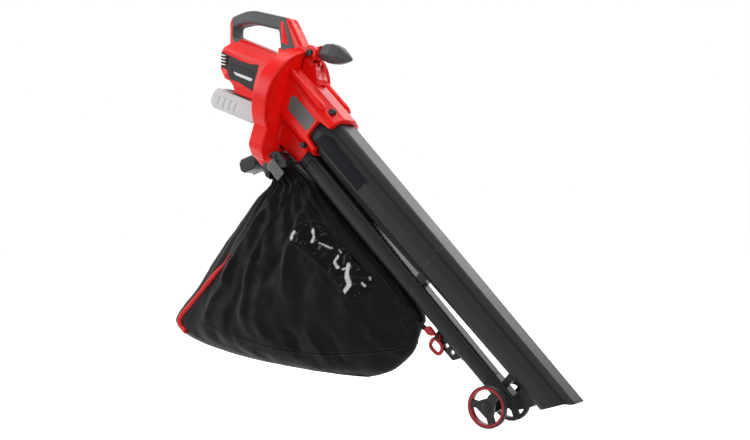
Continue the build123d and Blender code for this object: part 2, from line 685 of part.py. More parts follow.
def bag_collar():
    """Frame of the bag's mouth, with a rib round it and the lower lug of the latch."""
    middle, high = (collar_low + collar_high) / 2, collar_high - collar_low
    rib = RectangleRounded(2 * collar_half + 6, high + 2, 17)
    body = collar_outer() + slab(tube_plane(0, middle), rib, collar_end - 10, collar_end - 6)
    body -= fan_outer + latch_space() + latch_bracket()
    body += latch_lug(latch_middle - 17, latch_middle - 13.5, 12)
    body -= pin_rod(latch_pin, -230, -160)
    return body - slab(tube_plane(0, middle), RectangleRounded(2 * collar_half - 8, high - 8, 12), 200, 300)


def latch_space():
    """Room for the latch lever and its swing beside the collar."""
    return slab(tube_side_at(0, latch_middle), Pos(285, 0) * Rectangle(84, 26), 54.2, 70)


def across_tubes():
    """Plane seen from the crown: local x along the tubes, local y is +Y, local z out of the crown."""
    a = radians(tube_slope)
    return Plane((0, 0, 0), x_dir=(cos(a), 0, -sin(a)), z_dir=(sin(a), 0, cos(a)))


def pin_rod(radius, low, high):
    """Cylinder round the latch's hinge line, between two heights across the tubes."""
    return slab(across_tubes(), Pos(latch_pivot, -latch_side) * Circle(radius), low, high)


def latch_lug(low, high, reach):
    """Lug for the latch pin, reaching from the hinge line towards the collar."""
    lug = Pos(latch_pivot, -latch_side) * Circle(4) + Pos(latch_pivot, -latch_side + reach / 2) * Rectangle(8, reach)
    return slab(across_tubes(), lug, low, high) - pin_rod(latch_pin, low, high)


def latch_bracket():
    """Block on the collar's upper right corner that carries the upper lug."""
    tall = outline([
        (266, -176, 2), (266, -160, 6), (276, -151, 6), (306, -151, 6), (317, -160, 4), (300, -176, 2),
    ])
    block = slab(tube_side(), tall, 45, collar_half + 5) - collar_outer() - latch_space()
    block -= slab(tube_side(), Pos(290, -161) * RectangleRounded(26, 10, 4), collar_half + 3, collar_half + 6)
    return block + latch_lug(latch_middle + 13.1, latch_middle + 17, 4) - pin_rod(latch_pin, -175, -160)


def latch_lever():
    """Ribbed lever: pressed at its front end, it lifts the nib out of the catch."""
    side = tube_side_at(0, latch_middle)
    body = slab(side, Pos(298, 0) * RectangleRounded(44, 24, 3), 57, 60)
    body += slab(side, Pos(nib_along, 0) * Rectangle(4.4, 8), 54.6, 58)
    ribs = Sketch() + [Pos(280 + 4.4 * i, 0) * Rectangle(2, 21) for i in range(9)]
    body += slab(side, ribs, 59.5, 61.8)
    barrel = pin_rod(3.2, latch_middle - 12.5, latch_middle + 12.5)
    lever = body + barrel - pin_rod(latch_pin + running_gap, -230, -160)
    return lever, pin_rod(latch_pin, latch_middle - 17, latch_middle + 17)


# Collecting bag: a soft body with its main folds
bag_levels = (      # height Z, rear end X, front end X, half thickness, fold height
    (-374, 30, 157, 46, 2), (-400, -8, 183, 52, 3), (-435, -42, 219, 60, 4), (-509, -119, 294, 70, 4.5),
    (-557, -166, 343, 78, 4.5), (-607, -200, 390, 84, 4.5), (-640, -230, 413, 86, 4), (-665, -248, 422, 87, 3.5),
    (-690, -262, 418, 83, 3), (-715, -246, 402, 75, 3), (-738, -190, 384, 61, 2), (-758, -90, 340, 42, 1),
    (-776, 70, 290, 14, 0),
)
bag_points = 48


def bag_section(half, length, fold):
    """Oval whose long sides are folded in and out by turns; the folds die out towards its two ends."""
    corners = []
    for i in range(bag_points):
        turn = radians(360 / bag_points * (i + 0.5))
        push = fold * (-1) ** i * sin(turn) ** 2 * (0.75 + 0.25 * cos(2.3 * i))
        corners.append(((length + push) * cos(turn), (half + push) * sin(turn)))
    return make_face(Polyline(*corners, close=True))


def leaf_bag():
    middle, a = (collar_low + collar_high) / 2, radians(tube_slope)
    mouth = Plane(tube_point(collar_end + 0.3, middle), x_dir=(sin(a), 0, cos(a)), z_dir=(-cos(a), 0, sin(a)))
    mouth = mouth * bag_section(50, 24, 0)
    sections = [Pos((rear + front) / 2, 0, z) * bag_section(half, (front - rear) / 2, fold)
                for z, rear, front, half, fold in bag_levels]
    collar = RectangleRounded(2 * collar_half + 8, collar_high - collar_low + 10, 18)
    clear = slab(tube_plane(0, middle), collar, 240, collar_end + 0.2)
    return loft([mouth] + sections, ruled=True) - clear


# Hook rail under the blow tube, its pin and the swinging hook ring
rail_start, rail_end, rail_low = 798.0, 872.0, -172.0
ring_pin_along, ring_pin_across = 808.0, -162.0
ring_hole = 2.5


def hook_rail():
    face = outline([
        (rail_start, -140, 1), (rail_start, -165, 5), (rail_start + 8, rail_low, 5), (862, rail_low, 5),
        (rail_end, -152, 4), (rail_end, -140, 1),
    ])
    slots = [Pos(along, -161) * RectangleRounded(9, 9, 2) for along in (832, 850)]
    body = slab(tube_side(), face - (Sketch() + slots), -4, 4)
    pad = slab(tube_side(), outline([(rail_start - 6, -140, 1), (rail_start - 6, -152, 3), (rail_end + 8, -152, 3),
                                     (rail_end + 8, -140, 1)]), -9, 9)
    body = body + pad - blow_outer_solid()
    pin = tube_side_at(ring_pin_along, ring_pin_across)
    return body + rod(pin, ring_hole, -4, 12) + rod(pin, 4.5, 12, 14)


def blow_outer_solid():
    top, seam, end = blow_sizes
    return (tapered(blow_start + 18, blow_seam, top, seam, blow_centre)
            + tapered(blow_seam, blow_end, seam, end, blow_centre))


def suction_outer_solid():
    top, seam, end = suction_sizes
    return (tapered(suction_start, suction_seam, top, seam, suction_centre)
            + tapered(suction_seam, suction_end, seam, end, suction_centre))


def hook_ring():
    """Triangular ring with an eye that hangs on the pin."""
    x, z = tube_point(ring_pin_along, ring_pin_across).X, tube_point(ring_pin_along, ring_pin_across).Z
    outer = outline([(x - 21, z - 8, 5), (x - 4, z + 6, 4), (x + 10, z - 6, 5), (x + 13, z - 30, 8), (x + 1, z - 39, 7),
                     (x - 22, z - 22, 6)])
    inner = outline([(x - 13, z - 11, 3), (x - 3, z - 7, 3), (x + 4, z - 10, 3), (x + 5, z - 26, 4), (x, z - 30, 4),
                     (x - 14, z - 18, 3)])
    face = outer + Pos(x, z) * Circle(7) - inner - Pos(x, z) * Circle(ring_hole + running_gap)
    return slab(side_view(), face, 5, 11)


# Link between the tubes, and the wheel bracket on their lower ends
def tube_link():
    body = slab(tube_side(), Pos(701, -101) * RectangleRounded(22, 40, 2), -12, 12)
    return body - blow_outer_solid() - suction_outer_solid()


def wheel_bracket():
    face = outline([
        (572, -768, 4), (606, -728, 3), (640, -732, 3), (688, -786, 5), (670, -798, 12), (628, -806, 14),
        (597, -816, 14), (580, -805, 9),
    ])
    body = slab(side_view(), face, -26, 26)
    pocket = outline([(592, -766, 4), (612, -745, 4), (648, -775, 5), (628, -792, 5), (604, -790, 4)])
    for side in (-1, 1):
        body -= slab(side_view(), pocket, side * 26 - 3, side * 26 + 3)
    channel = slab(tube_side(), Pos(1007, -126) * Rectangle(128, 48), -20, 20)
    body -= channel - rod(side_view_at(wheel_x, wheel_z), 8, -21, 21)
    body -= blow_outer_solid() + suction_outer_solid()
    return body - rod(side_view_at(wheel_x, wheel_z), axle_radius, -60, 60)


def wheel_axle():
    axis = side_view_at(wheel_x, wheel_z)
    axle = rod(axis, axle_radius, -58, 58)
    for side in (-1, 1):
        axle += rod(axis, 7.5, side * 29.6 - 3.6, side * 29.6 + 3.6)
    return axle


def axle_cap(side):
    axis = side_view_at(wheel_x, wheel_z)
    outer = wheel_inner_y + wheel_width
    cap = rod(axis, 9, outer + 0.2, outer + 6)
    cap = fillet(cap.faces().sort_by(Axis.Y)[0].edges(), 3) - rod(axis, axle_radius, 0, 58)
    return cap if side < 0 else mirror(cap, Plane.XZ)


def wheel_profile(points):
    """Closed section, given as radius and distance from the middle plane, turned about the axle."""
    section = Plane.YZ * make_face(Polyline(*[(y, r) for r, y in points], close=True))
    return revolve(section, Axis.Y)


def wheel(side):
    """Hub with three spokes, coloured ring, and ribbed tyre."""
    near, far = wheel_inner_y, wheel_inner_y + wheel_width
    tyre = wheel_profile([(32, near + 1), (36, near), (39, near + 2.5), (wheel_radius, near + 7),
                          (wheel_radius, far - 7), (39, far - 2.5), (36, far), (32, far - 1)])
    ring = wheel_profile([(25.5, near + 3), (32, near + 3), (32, far - 1), (30.5, far - 1), (27, far - 3.5),
                          (25.5, far - 3.5)])
    hub = wheel_profile([(axle_radius + running_gap, near), (9, near), (9, near + 5), (23, near + 6),
                         (25.5, near + 4), (25.5, far - 5), (22.5, far - 5), (22, near + 10), (9.5, near + 10),
                         (9, far), (axle_radius + running_gap, far)])
    spokes = Sketch() + [spot * (Pos(16, 0) * Rectangle(16, 7)) for spot in PolarLocations(0, 3, 90)]
    arms = extrude(Plane((0, near + 8, 0), x_dir=(1, 0, 0), z_dir=(0, 1, 0)) * spokes, wheel_width - 15)
    parts = [Pos(wheel_x, 0, wheel_z) * piece for piece in (hub + arms, ring, tyre)]
    return parts if side > 0 else [mirror(piece, Plane.XZ) for piece in parts]


# All pieces, each in its own file
housing = handle_housing() - panel_pockets()
fan_case = fan_housing()
for side, name in ((-1, "right"), (1, "left")):
    save(f"handle_housing_{name}", housing & half_space(side))
    save(f"fan_housing_{name}", fan_case & half_space(side))
    save(f"side_panel_{name}", side_panel(side))
    save(f"axle_cap_{name}", axle_cap(side))
    for piece, part in zip(("wheel_hub", "wheel_ring", "wheel_tyre"), wheel(side)):
        save(f"{piece}_{name}", part)

dial, slider, switch = controls()
can, stator, rear_bearing, front_bearing, rotor, motor_shaft = motor_parts()
blade, blade_nut = shredder()
shaft, flap, lever = diverter()
neck, plate = intake_neck()
suction_upper, suction_lower = suction_tubes()
duct_collar, blow_upper, blow_lower = blow_tubes()
yoke, paddle = front_grip()
latch, pin = latch_lever()
pieces = {
    "soft_grip": soft_grip(), "speed_dial": dial, "power_slider": slider, "switch_body": switch,
    "motor_can": can, "motor_stator": stator, "rear_bearing": rear_bearing, "front_bearing": front_bearing,
    "motor_rotor": rotor, "motor_shaft": motor_shaft, "impeller": impeller(), "shredder_blade": blade,
    "blade_nut": blade_nut, "control_board": control_board(), "battery_rails": battery_mount(),
    "terminal_block": terminal_block(), "battery_pack": battery(), "battery_button": battery_button(),
    "diverter_shaft": shaft, "diverter_flap": flap, "selector_lever": lever, "blow_duct": blow_duct(),
    "duct_collar": duct_collar, "intake_neck": neck, "neck_plate": plate,
    "suction_tube_upper": suction_upper, "suction_tube_lower": suction_lower,
    "blow_tube_upper": blow_upper, "blow_tube_lower": blow_lower, "tube_link": tube_link(),
    "wheel_bracket": wheel_bracket(), "wheel_axle": wheel_axle(), "hook_rail": hook_rail(),
    "hook_ring": hook_ring(), "strap_eye": eye_plate(eye_hole), "bag_collar": bag_collar(),
    "latch_bracket": latch_bracket(), "latch_lever": latch, "latch_pin": pin, "leaf_bag": leaf_bag(),
    "grip_yoke": yoke, "front_grip": paddle, "pivot_bolt": pivot_bolt(),
}
for height, name in ((knob_places[0], "upper"), (knob_places[1], "lower")):
    pieces[f"clamp_knob_{name}"] = clamp_knob(*height)
for name, piece in pieces.items():
    save(name, piece)
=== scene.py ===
import json
from math import cos, pi, radians, sin

import bmesh
import bpy
import numpy as np
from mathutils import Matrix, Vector, noise
from mathutils.bvhtree import BVHTree

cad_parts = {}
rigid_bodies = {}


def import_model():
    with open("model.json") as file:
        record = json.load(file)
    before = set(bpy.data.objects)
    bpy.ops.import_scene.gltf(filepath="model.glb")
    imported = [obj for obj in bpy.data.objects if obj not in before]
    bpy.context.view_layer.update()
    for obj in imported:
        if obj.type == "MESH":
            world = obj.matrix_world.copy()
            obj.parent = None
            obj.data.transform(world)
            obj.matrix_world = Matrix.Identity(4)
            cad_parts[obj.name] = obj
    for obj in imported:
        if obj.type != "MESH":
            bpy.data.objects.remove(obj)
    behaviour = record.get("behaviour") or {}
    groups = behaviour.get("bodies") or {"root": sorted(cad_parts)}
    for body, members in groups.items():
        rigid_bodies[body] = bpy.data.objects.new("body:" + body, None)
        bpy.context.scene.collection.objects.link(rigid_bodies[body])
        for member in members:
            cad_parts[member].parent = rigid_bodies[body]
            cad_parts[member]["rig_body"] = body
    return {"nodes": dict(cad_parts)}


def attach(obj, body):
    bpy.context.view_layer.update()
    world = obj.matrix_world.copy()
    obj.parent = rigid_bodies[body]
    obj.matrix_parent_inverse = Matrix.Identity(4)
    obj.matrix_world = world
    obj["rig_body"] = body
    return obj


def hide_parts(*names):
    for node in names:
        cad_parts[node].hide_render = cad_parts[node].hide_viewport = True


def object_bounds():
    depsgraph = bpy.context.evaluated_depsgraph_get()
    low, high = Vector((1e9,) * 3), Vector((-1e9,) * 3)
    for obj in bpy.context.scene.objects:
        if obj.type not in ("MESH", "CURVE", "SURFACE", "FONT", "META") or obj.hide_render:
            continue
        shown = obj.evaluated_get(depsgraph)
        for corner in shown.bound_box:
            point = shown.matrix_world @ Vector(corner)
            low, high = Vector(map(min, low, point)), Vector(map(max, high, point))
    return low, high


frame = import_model()
cad_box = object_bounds()


# --- Camera, floor and light ---
# A level camera to the right of the nozzle looks back at the machine, which hangs with its wheels just
# above a plain pale floor. Four soft lamps and a pale room light it evenly.
camera = bpy.data.objects.new("camera", bpy.data.cameras.new("camera"))
bpy.context.collection.objects.link(camera)
camera.data.lens = 50.0
camera.data.sensor_width = 36.0
camera.data.clip_end = 60.0
camera.location = (1.5479, -1.7751, -0.449)
camera.rotation_euler = (pi / 2, 0, radians(35))
bpy.context.scene.camera = camera
bpy.context.scene.view_settings.view_transform = "Standard"


def lamp(name, place, target, size, power):
    """Soft square lamp aimed at a point."""
    data = bpy.data.lights.new(name, "AREA")
    data.shape = "SQUARE"
    data.size = size
    data.energy = power
    thing = bpy.data.objects.new(name, data)
    thing.location = place
    thing.rotation_euler = (Vector(target) - Vector(place)).to_track_quat("-Z", "Y").to_euler()
    bpy.context.collection.objects.link(thing)


machine_middle = (0.3, 0, -0.4)
bag_middle = (0.1, 0, -0.4)
lamp("overhead softbox", (0.2, 0.1, 2.4), machine_middle, 1.8, 46)
lamp("left softbox", (-2.2, -1.9, 0.9), bag_middle, 1.5, 52)
lamp("right softbox", (2.9, -1.0, 0.5), machine_middle, 1.4, 24)
lamp("back softbox", (0.4, 2.6, 1.2), machine_middle, 1.8, 30)


def set_inputs(node, values):
    """Sets inputs of a node by their names."""
    for name, value in values.items():
        node.inputs[name].default_value = value


def background_rays(tree):
    """1 for rays from the camera, off gloss or through glass, and 0 for the light that falls on things."""
    path = tree.nodes.new("ShaderNodeLightPath")
    value = path.outputs["Is Camera Ray"]
    for ray in ("Is Glossy Ray", "Is Transmission Ray"):
        either = tree.nodes.new("ShaderNodeMath")
        either.operation = "MAXIMUM"
        tree.links.new(value, either.inputs[0])
        tree.links.new(path.outputs[ray], either.inputs[1])
        value = either.outputs[0]
    return value


room = bpy.data.worlds.new("studio")
bpy.context.scene.world = room
room.use_nodes = True
tree = room.node_tree
tree.nodes.clear()
lit, seen = tree.nodes.new("ShaderNodeBackground"), tree.nodes.new("ShaderNodeBackground")
set_inputs(lit, {"Color": (1, 1, 1, 1), "Strength": 0.22})
set_inputs(seen, {"Color": (1, 1, 1, 1), "Strength": 1.0})
mix, out = tree.nodes.new("ShaderNodeMixShader"), tree.nodes.new("ShaderNodeOutputWorld")
tree.links.new(background_rays(tree), mix.inputs["Fac"])
tree.links.new(lit.outputs[0], mix.inputs[1])
tree.links.new(seen.outputs[0], mix.inputs[2])
tree.links.new(mix.outputs[0], out.inputs["Surface"])

floor_height = cad_box[0][2] - 0.0005
front, back = -9, 14
mesh = bpy.data.meshes.new("floor")
mesh.from_pydata([(front, front, floor_height), (-front, front, floor_height), (-front, back, floor_height),
                  (front, back, floor_height)], [], [(0, 1, 2, 3)])
floor = bpy.data.objects.new("floor", mesh)
bpy.context.collection.objects.link(floor)
paper = bpy.data.materials.new("white paper")
paper.use_nodes = True
tree = paper.node_tree
tree.nodes.clear()
matt, glow = tree.nodes.new("ShaderNodeBsdfDiffuse"), tree.nodes.new("ShaderNodeEmission")
set_inputs(matt, {"Color": (0.86, 0.86, 0.86, 1)})
set_inputs(glow, {"Color": (0.82, 0.82, 0.82, 1)})
both, out = tree.nodes.new("ShaderNodeAddShader"), tree.nodes.new("ShaderNodeOutputMaterial")
tree.links.new(background_rays(tree), glow.inputs["Strength"])
tree.links.new(matt.outputs[0], both.inputs[0])
tree.links.new(glow.outputs[0], both.inputs[1])
tree.links.new(both.outputs[0], out.inputs["Surface"])
mesh.materials.append(paper)


# --- Red shell: handle and motor housing, fan housing, intake neck, duct, yoke ---
# Glossy scarlet ABS mouldings, screwed together along the middle plane. Their edges are softly rounded, and
# the skin has the faint swirl and fine grain of a polished steel tool.
def new_group(name, kind, inputs, outputs):
    """Node group with its sockets, each a name, a kind of value and, where it has one, a default."""
    tree = bpy.data.node_groups.new(name, kind)
    for way, sockets in (("INPUT", inputs), ("OUTPUT", outputs)):
        for title, value, *default in sockets:
            socket = tree.interface.new_socket(name=title, in_out=way, socket_type="NodeSocket" + value)
            if default:
                socket.default_value = default[0]
    return tree, tree.nodes.new("NodeGroupInput"), tree.nodes.new("NodeGroupOutput")


def edge_group():
    """Shader group: rounds the shading over an edge, and gives a mask of the edges for wear."""
    tree, inlet, outlet = new_group("Rounded edge", "ShaderNodeTree", [("Radius", "Float", 0.001)],
                                    [("Edge", "Float"), ("Normal", "Vector")])
    add, link = tree.nodes.new, tree.links.new
    bevel, flat, dot = add("ShaderNodeBevel"), add("ShaderNodeNewGeometry"), add("ShaderNodeVectorMath")
    bevel.samples = 6
    dot.operation = "DOT_PRODUCT"
    ramp = add("ShaderNodeMapRange")
    set_inputs(ramp, {"From Min": 0.995, "From Max": 0.86})
    link(inlet.outputs["Radius"], bevel.inputs["Radius"])
    link(bevel.outputs["Normal"], dot.inputs[0])
    link(flat.outputs["Normal"], dot.inputs[1])
    link(dot.outputs["Value"], ramp.inputs["Value"])
    link(ramp.outputs["Result"], outlet.inputs["Edge"])
    link(bevel.outputs["Normal"], outlet.inputs["Normal"])
    return tree


def skin_group():
    """Shader group: slow colour drift, fine grain height, and a little dust on what faces up."""
    tree, inlet, outlet = new_group("Moulded skin", "ShaderNodeTree", [("Grain scale", "Float", 900.0)],
                                    [("Drift", "Float"), ("Grain", "Float"), ("Dust", "Float")])
    add, link = tree.nodes.new, tree.links.new
    place, slow, fine = add("ShaderNodeTexCoord"), add("ShaderNodeTexNoise"), add("ShaderNodeTexNoise")
    set_inputs(slow, {"Scale": 14.0, "Detail": 4.0})
    set_inputs(fine, {"Detail": 3.0})
    link(place.outputs["Object"], slow.inputs["Vector"])
    link(place.outputs["Object"], fine.inputs["Vector"])
    link(inlet.outputs["Grain scale"], fine.inputs["Scale"])
    shape, parts, up = add("ShaderNodeNewGeometry"), add("ShaderNodeSeparateXYZ"), add("ShaderNodeMapRange")
    set_inputs(up, {"From Min": 0.55, "From Max": 1.0})
    link(shape.outputs["Normal"], parts.inputs[0])
    link(parts.outputs["Z"], up.inputs["Value"])
    patchy = add("ShaderNodeMath")
    patchy.operation = "MULTIPLY"
    link(up.outputs["Result"], patchy.inputs[0])
    link(slow.outputs["Fac"], patchy.inputs[1])
    link(slow.outputs["Fac"], outlet.inputs["Drift"])
    link(fine.outputs["Fac"], outlet.inputs["Grain"])
    link(patchy.outputs["Value"], outlet.inputs["Dust"])
    return tree


edge_tree, skin_tree = edge_group(), skin_group()


def scaled(tree, output, factor):
    """Output of a node times a fixed factor."""
    times = tree.nodes.new("ShaderNodeMath")
    times.operation = "MULTIPLY"
    times.inputs[1].default_value = factor
    tree.links.new(output, times.inputs[0])
    return times.outputs[0]


def finish_of(name, dark, light, roughness, radius=0.0012, wear=0.25, grain=900.0, depth=0.02, metallic=0.0,
              dust=0.05, gloss=0.3):
    """Material of a moulded or machined piece: two nearby tones, grain, rounded and slightly worn edges."""
    material = bpy.data.materials.new(name)
    material.use_nodes = True
    tree = material.node_tree
    add, link = tree.nodes.new, tree.links.new
    shader = tree.nodes["Principled BSDF"]
    set_inputs(shader, {"Metallic": metallic, "Specular IOR Level": gloss})
    edge, skin = add("ShaderNodeGroup"), add("ShaderNodeGroup")
    edge.node_tree, skin.node_tree = edge_tree, skin_tree
    set_inputs(edge, {"Radius": radius})
    set_inputs(skin, {"Grain scale": grain})
    tone, worn, dusty = add("ShaderNodeMix"), add("ShaderNodeMix"), add("ShaderNodeMix")
    for mix in (tone, worn, dusty):
        mix.data_type = "RGBA"
    worn_tone = [min(1.0, 1.5 * c + 0.03) for c in light]
    dust_tone = (0.55, 0.53, 0.5)
    set_inputs(tone, {"A": (*dark, 1), "B": (*light, 1)})
    set_inputs(worn, {"B": (*worn_tone, 1)})
    set_inputs(dusty, {"B": (*dust_tone, 1)})
    link(skin.outputs["Drift"], tone.inputs["Factor"])
    link(tone.outputs["Result"], worn.inputs["A"])
    link(scaled(tree, edge.outputs["Edge"], wear), worn.inputs["Factor"])
    link(worn.outputs["Result"], dusty.inputs["A"])
    link(scaled(tree, skin.outputs["Dust"], dust), dusty.inputs["Factor"])
    link(dusty.outputs["Result"], shader.inputs["Base Color"])
    rough = add("ShaderNodeMapRange")
    set_inputs(rough, {"To Min": roughness - 0.06, "To Max": roughness + 0.06})
    link(skin.outputs["Drift"], rough.inputs["Value"])
    link(rough.outputs["Result"], shader.inputs["Roughness"])
    bump = add("ShaderNodeBump")
    set_inputs(bump, {"Strength": 0.6, "Distance": depth / 1000})
    link(skin.outputs["Grain"], bump.inputs["Height"])
    link(edge.outputs["Normal"], bump.inputs["Normal"])
    link(bump.outputs["Normal"], shader.inputs["Normal"])
    return material


def coat_nodes(material, *names):
    """These CAD pieces take the material as they are."""
    for name in names:
        mesh = frame["nodes"][name].data
        mesh.materials.clear()
        mesh.materials.append(material)


scarlet = finish_of("scarlet ABS", (0.8, 0.006, 0.003), (0.92, 0.01, 0.006), 0.34, radius=0.0025, wear=0.08,
                    grain=1100, depth=0.006, dust=0.0, gloss=0.22)
coat_nodes(scarlet, "handle_housing_right", "handle_housing_left", "fan_housing_right", "fan_housing_left",
           "intake_neck", "grip_yoke", "blow_duct")


# --- Soft grip and front grip ---
# Dark thermoplastic rubber, moulded over the loop handle and over the core of the front grip. It is matt,
# with a fine spark-eroded grain.
soft_rubber = finish_of("soft grip rubber", (0.04, 0.04, 0.042), (0.06, 0.06, 0.062), 0.55, radius=0.0014,
                        grain=1500, depth=0.05, gloss=0.4)
coat_nodes(soft_rubber, "soft_grip", "front_grip")


# --- Black mouldings: collar, link, rails, impeller, levers, knobs ---
# Black polypropylene, satin on the outside, with light spark grain and a paler worn line along the edges.
# The small ones snap or screw onto the shell.
black_plastic = finish_of("black polypropylene", (0.009, 0.009, 0.01), (0.016, 0.016, 0.017), 0.36,
                          radius=0.0016, grain=700, depth=0.03, dust=0.03, gloss=0.24)
coat_nodes(black_plastic, "duct_collar", "pivot_bolt", "tube_link", "hook_rail", "bag_collar",
           "latch_bracket", "battery_rails", "terminal_block", "switch_body", "selector_lever",
           "diverter_flap", "clamp_knob_upper", "clamp_knob_lower", "power_slider", "speed_dial", "impeller")


# --- Suction and blow tubes ---
# Both tubes are blow-moulded in black polypropylene, in two lengths each. Their long edges are well
# rounded.
tube_plastic = finish_of("black tube polypropylene", (0.008, 0.008, 0.009), (0.015, 0.015, 0.016), 0.4,
                         radius=0.009, wear=0.0, grain=600, depth=0.03, dust=0.02, gloss=0.26)
coat_nodes(tube_plastic, "suction_tube_upper", "suction_tube_lower", "blow_tube_upper", "blow_tube_lower")


# --- Side panels ---
# Black polypropylene panels with the motor's cooling slots clip into both sides of the red housing. They
# are duller than the tubes, and worn along the slots.
panel_plastic = finish_of("side panel polypropylene", (0.005, 0.005, 0.006), (0.009, 0.009, 0.01), 0.42,
                          wear=0.3, grain=1100, depth=0.05, dust=0.0, gloss=0.16)
coat_nodes(panel_plastic, "side_panel_right", "side_panel_left")


# --- Latch lever and battery release ---
# Two small pieces for the fingers, moulded in grey nylon so that they stand out from the black. The lever
# turns on its steel pin, and the button is pressed in against a spring.
grey_plastic = finish_of("grey nylon", (0.16, 0.16, 0.165), (0.22, 0.22, 0.225), 0.45, wear=0.3)
coat_nodes(grey_plastic, "latch_lever", "battery_button")


# --- Neck plate ---
# A bare plate of pressed plastic, coarsely speckled in two greys, lies in a recess on the neck's right
# side. It is glued down.
stone_grey = finish_of("speckled grey plate", (0.035, 0.035, 0.037), (0.2, 0.2, 0.2), 0.6, grain=380,
                       depth=0.12)
coat_nodes(stone_grey, "neck_plate")


# --- Battery pack ---
# The pack's case is moulded in pale grey ABS, matt and nearly unworn. It slides onto the rails under the
# motor.
pale_plastic = finish_of("pale battery case", (0.6, 0.6, 0.61), (0.7, 0.7, 0.71), 0.5, wear=0.1, depth=0.03)
coat_nodes(pale_plastic, "battery_pack")


# --- Control board ---
# A thin board of green glass-filled epoxy. It stands inside the handle housing, behind the power switch, and
# is held between the two halves of the shell.
board = finish_of("circuit board", (0.015, 0.1, 0.04), (0.025, 0.15, 0.06), 0.4)
coat_nodes(board, "control_board")


# --- Steel pieces ---
# Motor, shafts, bearings, pins, strap eye and shredder blade are turned, pressed or ground from steel, and
# left bright.
steel = finish_of("machined steel", (0.45, 0.45, 0.47), (0.58, 0.58, 0.6), 0.3, metallic=1.0, grain=2200,
                  depth=0.01)
coat_nodes(steel, "strap_eye", "motor_can", "motor_stator", "rear_bearing", "front_bearing",
           "shredder_blade", "blade_nut", "motor_rotor", "motor_shaft", "wheel_axle", "latch_pin",
           "diverter_shaft")


# --- Leaf bag ---
# Coated black polyester, sewn from two side panels and a bottom gusset, and clipped to the collar. It hangs
# in long folds from its mouth, is caught up at its front end, and sags to a rounded bottom.
slope = radians(44.5)


def tube_place(along, across, side=0.0):
    """Point along the tubes, across them towards the crown, and sideways, all in millimetres, as metres."""
    return Vector((along * cos(slope) + across * sin(slope), side,
                   -along * sin(slope) + across * cos(slope))) / 1000


bag_levels = (      # height Z, rear end X, front end X, half thickness
    (-374, 30, 158, 46), (-400, -8, 185, 52), (-435, -40, 221, 60), (-472, -74, 259, 66),
    (-509, -112, 297, 70), (-557, -154, 347, 77), (-607, -196, 397, 83), (-633, -224, 419, 85),
    (-652, -243, 425, 86), (-668, -258, 417, 85), (-690, -268, 410, 81), (-715, -240, 400, 73),
    (-738, -170, 378, 60), (-758, -62, 350, 41), (-770, 60, 318, 22), (-777, 190, 290, 8),
)
mouth = tube_place(291, -192)
mouth_high, mouth_wide = 0.024, 0.05
crown = Vector((sin(slope), 0, cos(slope)))
rows = [[*mouth, *(crown * mouth_high), mouth_wide]]
for height, rear, front, half in bag_levels:
    rows.append([(rear + front) / 2000, 0, height / 1000, (front - rear) / 2000, 0, 0, half / 1000])
rows = np.array(rows)


def smooth_rows(table, count):
    """Catmull-Rom through the rows, at evenly spaced steps."""
    padded = np.vstack([2 * table[0] - table[1], table, 2 * table[-1] - table[-2]])
    result = []
    for step in np.linspace(0, len(table) - 1, count):
        i = min(int(step), len(table) - 2)
        f = step - i
        a, b, c, d = padded[i:i + 4]
        result.append(0.5 * (2 * b + (c - a) * f + (2 * a - 5 * b + 4 * c - d) * f * f
                             + (3 * b - a - 3 * c + d) * f ** 3))
    return result


folds = (      # height and half width of each fold, and its line over the side, X and Z, in millimetres
    (8, 15, ((134, -362), (112, -397), (91, -435), (59, -483), (34, -526), (21, -575), (14, -650))),
    (-7, 12, ((119, -397), (84, -449), (59, -487), (42, -530))),
    (8, 13, ((84, -392), (40, -444), (1, -493), (-25, -532), (-50, -580))),
    (7, 16, ((152, -365), (161, -402), (152, -444), (137, -491), (131, -543), (124, -590))),
    (-5, 13, ((146, -421), (128, -477), (110, -525), (78, -570))),
    (4, 7, ((170, -500), (206, -537), (229, -582), (275, -617), (353, -689), (385, -718))),
    (5, 9, ((374, -617), (411, -628), (448, -653))),
    (5, 8, ((369, -639), (411, -663), (453, -674))),
    (-5, 8, ((353, -671), (395, -686), (430, -692))),
    (5, 8, ((401, -598), (406, -633), (401, -673))),
    (-5, 10, ((128, -680), (146, -693), (152, -724))),
    (5, 9, ((190, -686), (206, -713), (212, -731))),
    (-5, 9, ((235, -688), (249, -710), (255, -738))),
    (6, 9, ((331, -682), (358, -707), (380, -725))),
    (5, 12, ((-30, -540), (-58, -588), (-92, -629), (-110, -670))),
    (-4, 12, ((5, -560), (-5, -605), (-25, -645), (-38, -685))),
    (3, 14, ((60, -600), (50, -650), (70, -700))),
    (6, 14, ((190, -410), (240, -465), (300, -520), (360, -585))),
    (-4, 9, ((175, -425), (230, -482), (290, -535), (345, -588))),
)
crest_round = 3                        # square millimetres, rounds the crest of a fold
fold_fall, fold_reach = 2.2, 0.62      # a fold drops this many times over this share of its half width
cloth_gain = 2.1                       # all relief of the cloth is raised by this
pleats, pleat_rise = 24, 2.2
noise_layers = (      # waves per metre in X and Z, offset, height in millimetres
    (9, 9, 0, 3.5), (30, 24, 5, 2.0), (75, 60, 8, 0.7),
)


def off_line(line, x, z):
    """Distance of a place from a polyline."""
    nearest = 1e18
    for (x0, z0), (x1, z1) in zip(line, line[1:]):
        share = ((x - x0) * (x1 - x0) + (z - z0) * (z1 - z0)) / ((x1 - x0) ** 2 + (z1 - z0) ** 2)
        share = min(1.0, max(0.0, share))
        nearest = min(nearest, (x - x0 - share * (x1 - x0)) ** 2 + (z - z0 - share * (z1 - z0)) ** 2)
    return nearest ** 0.5


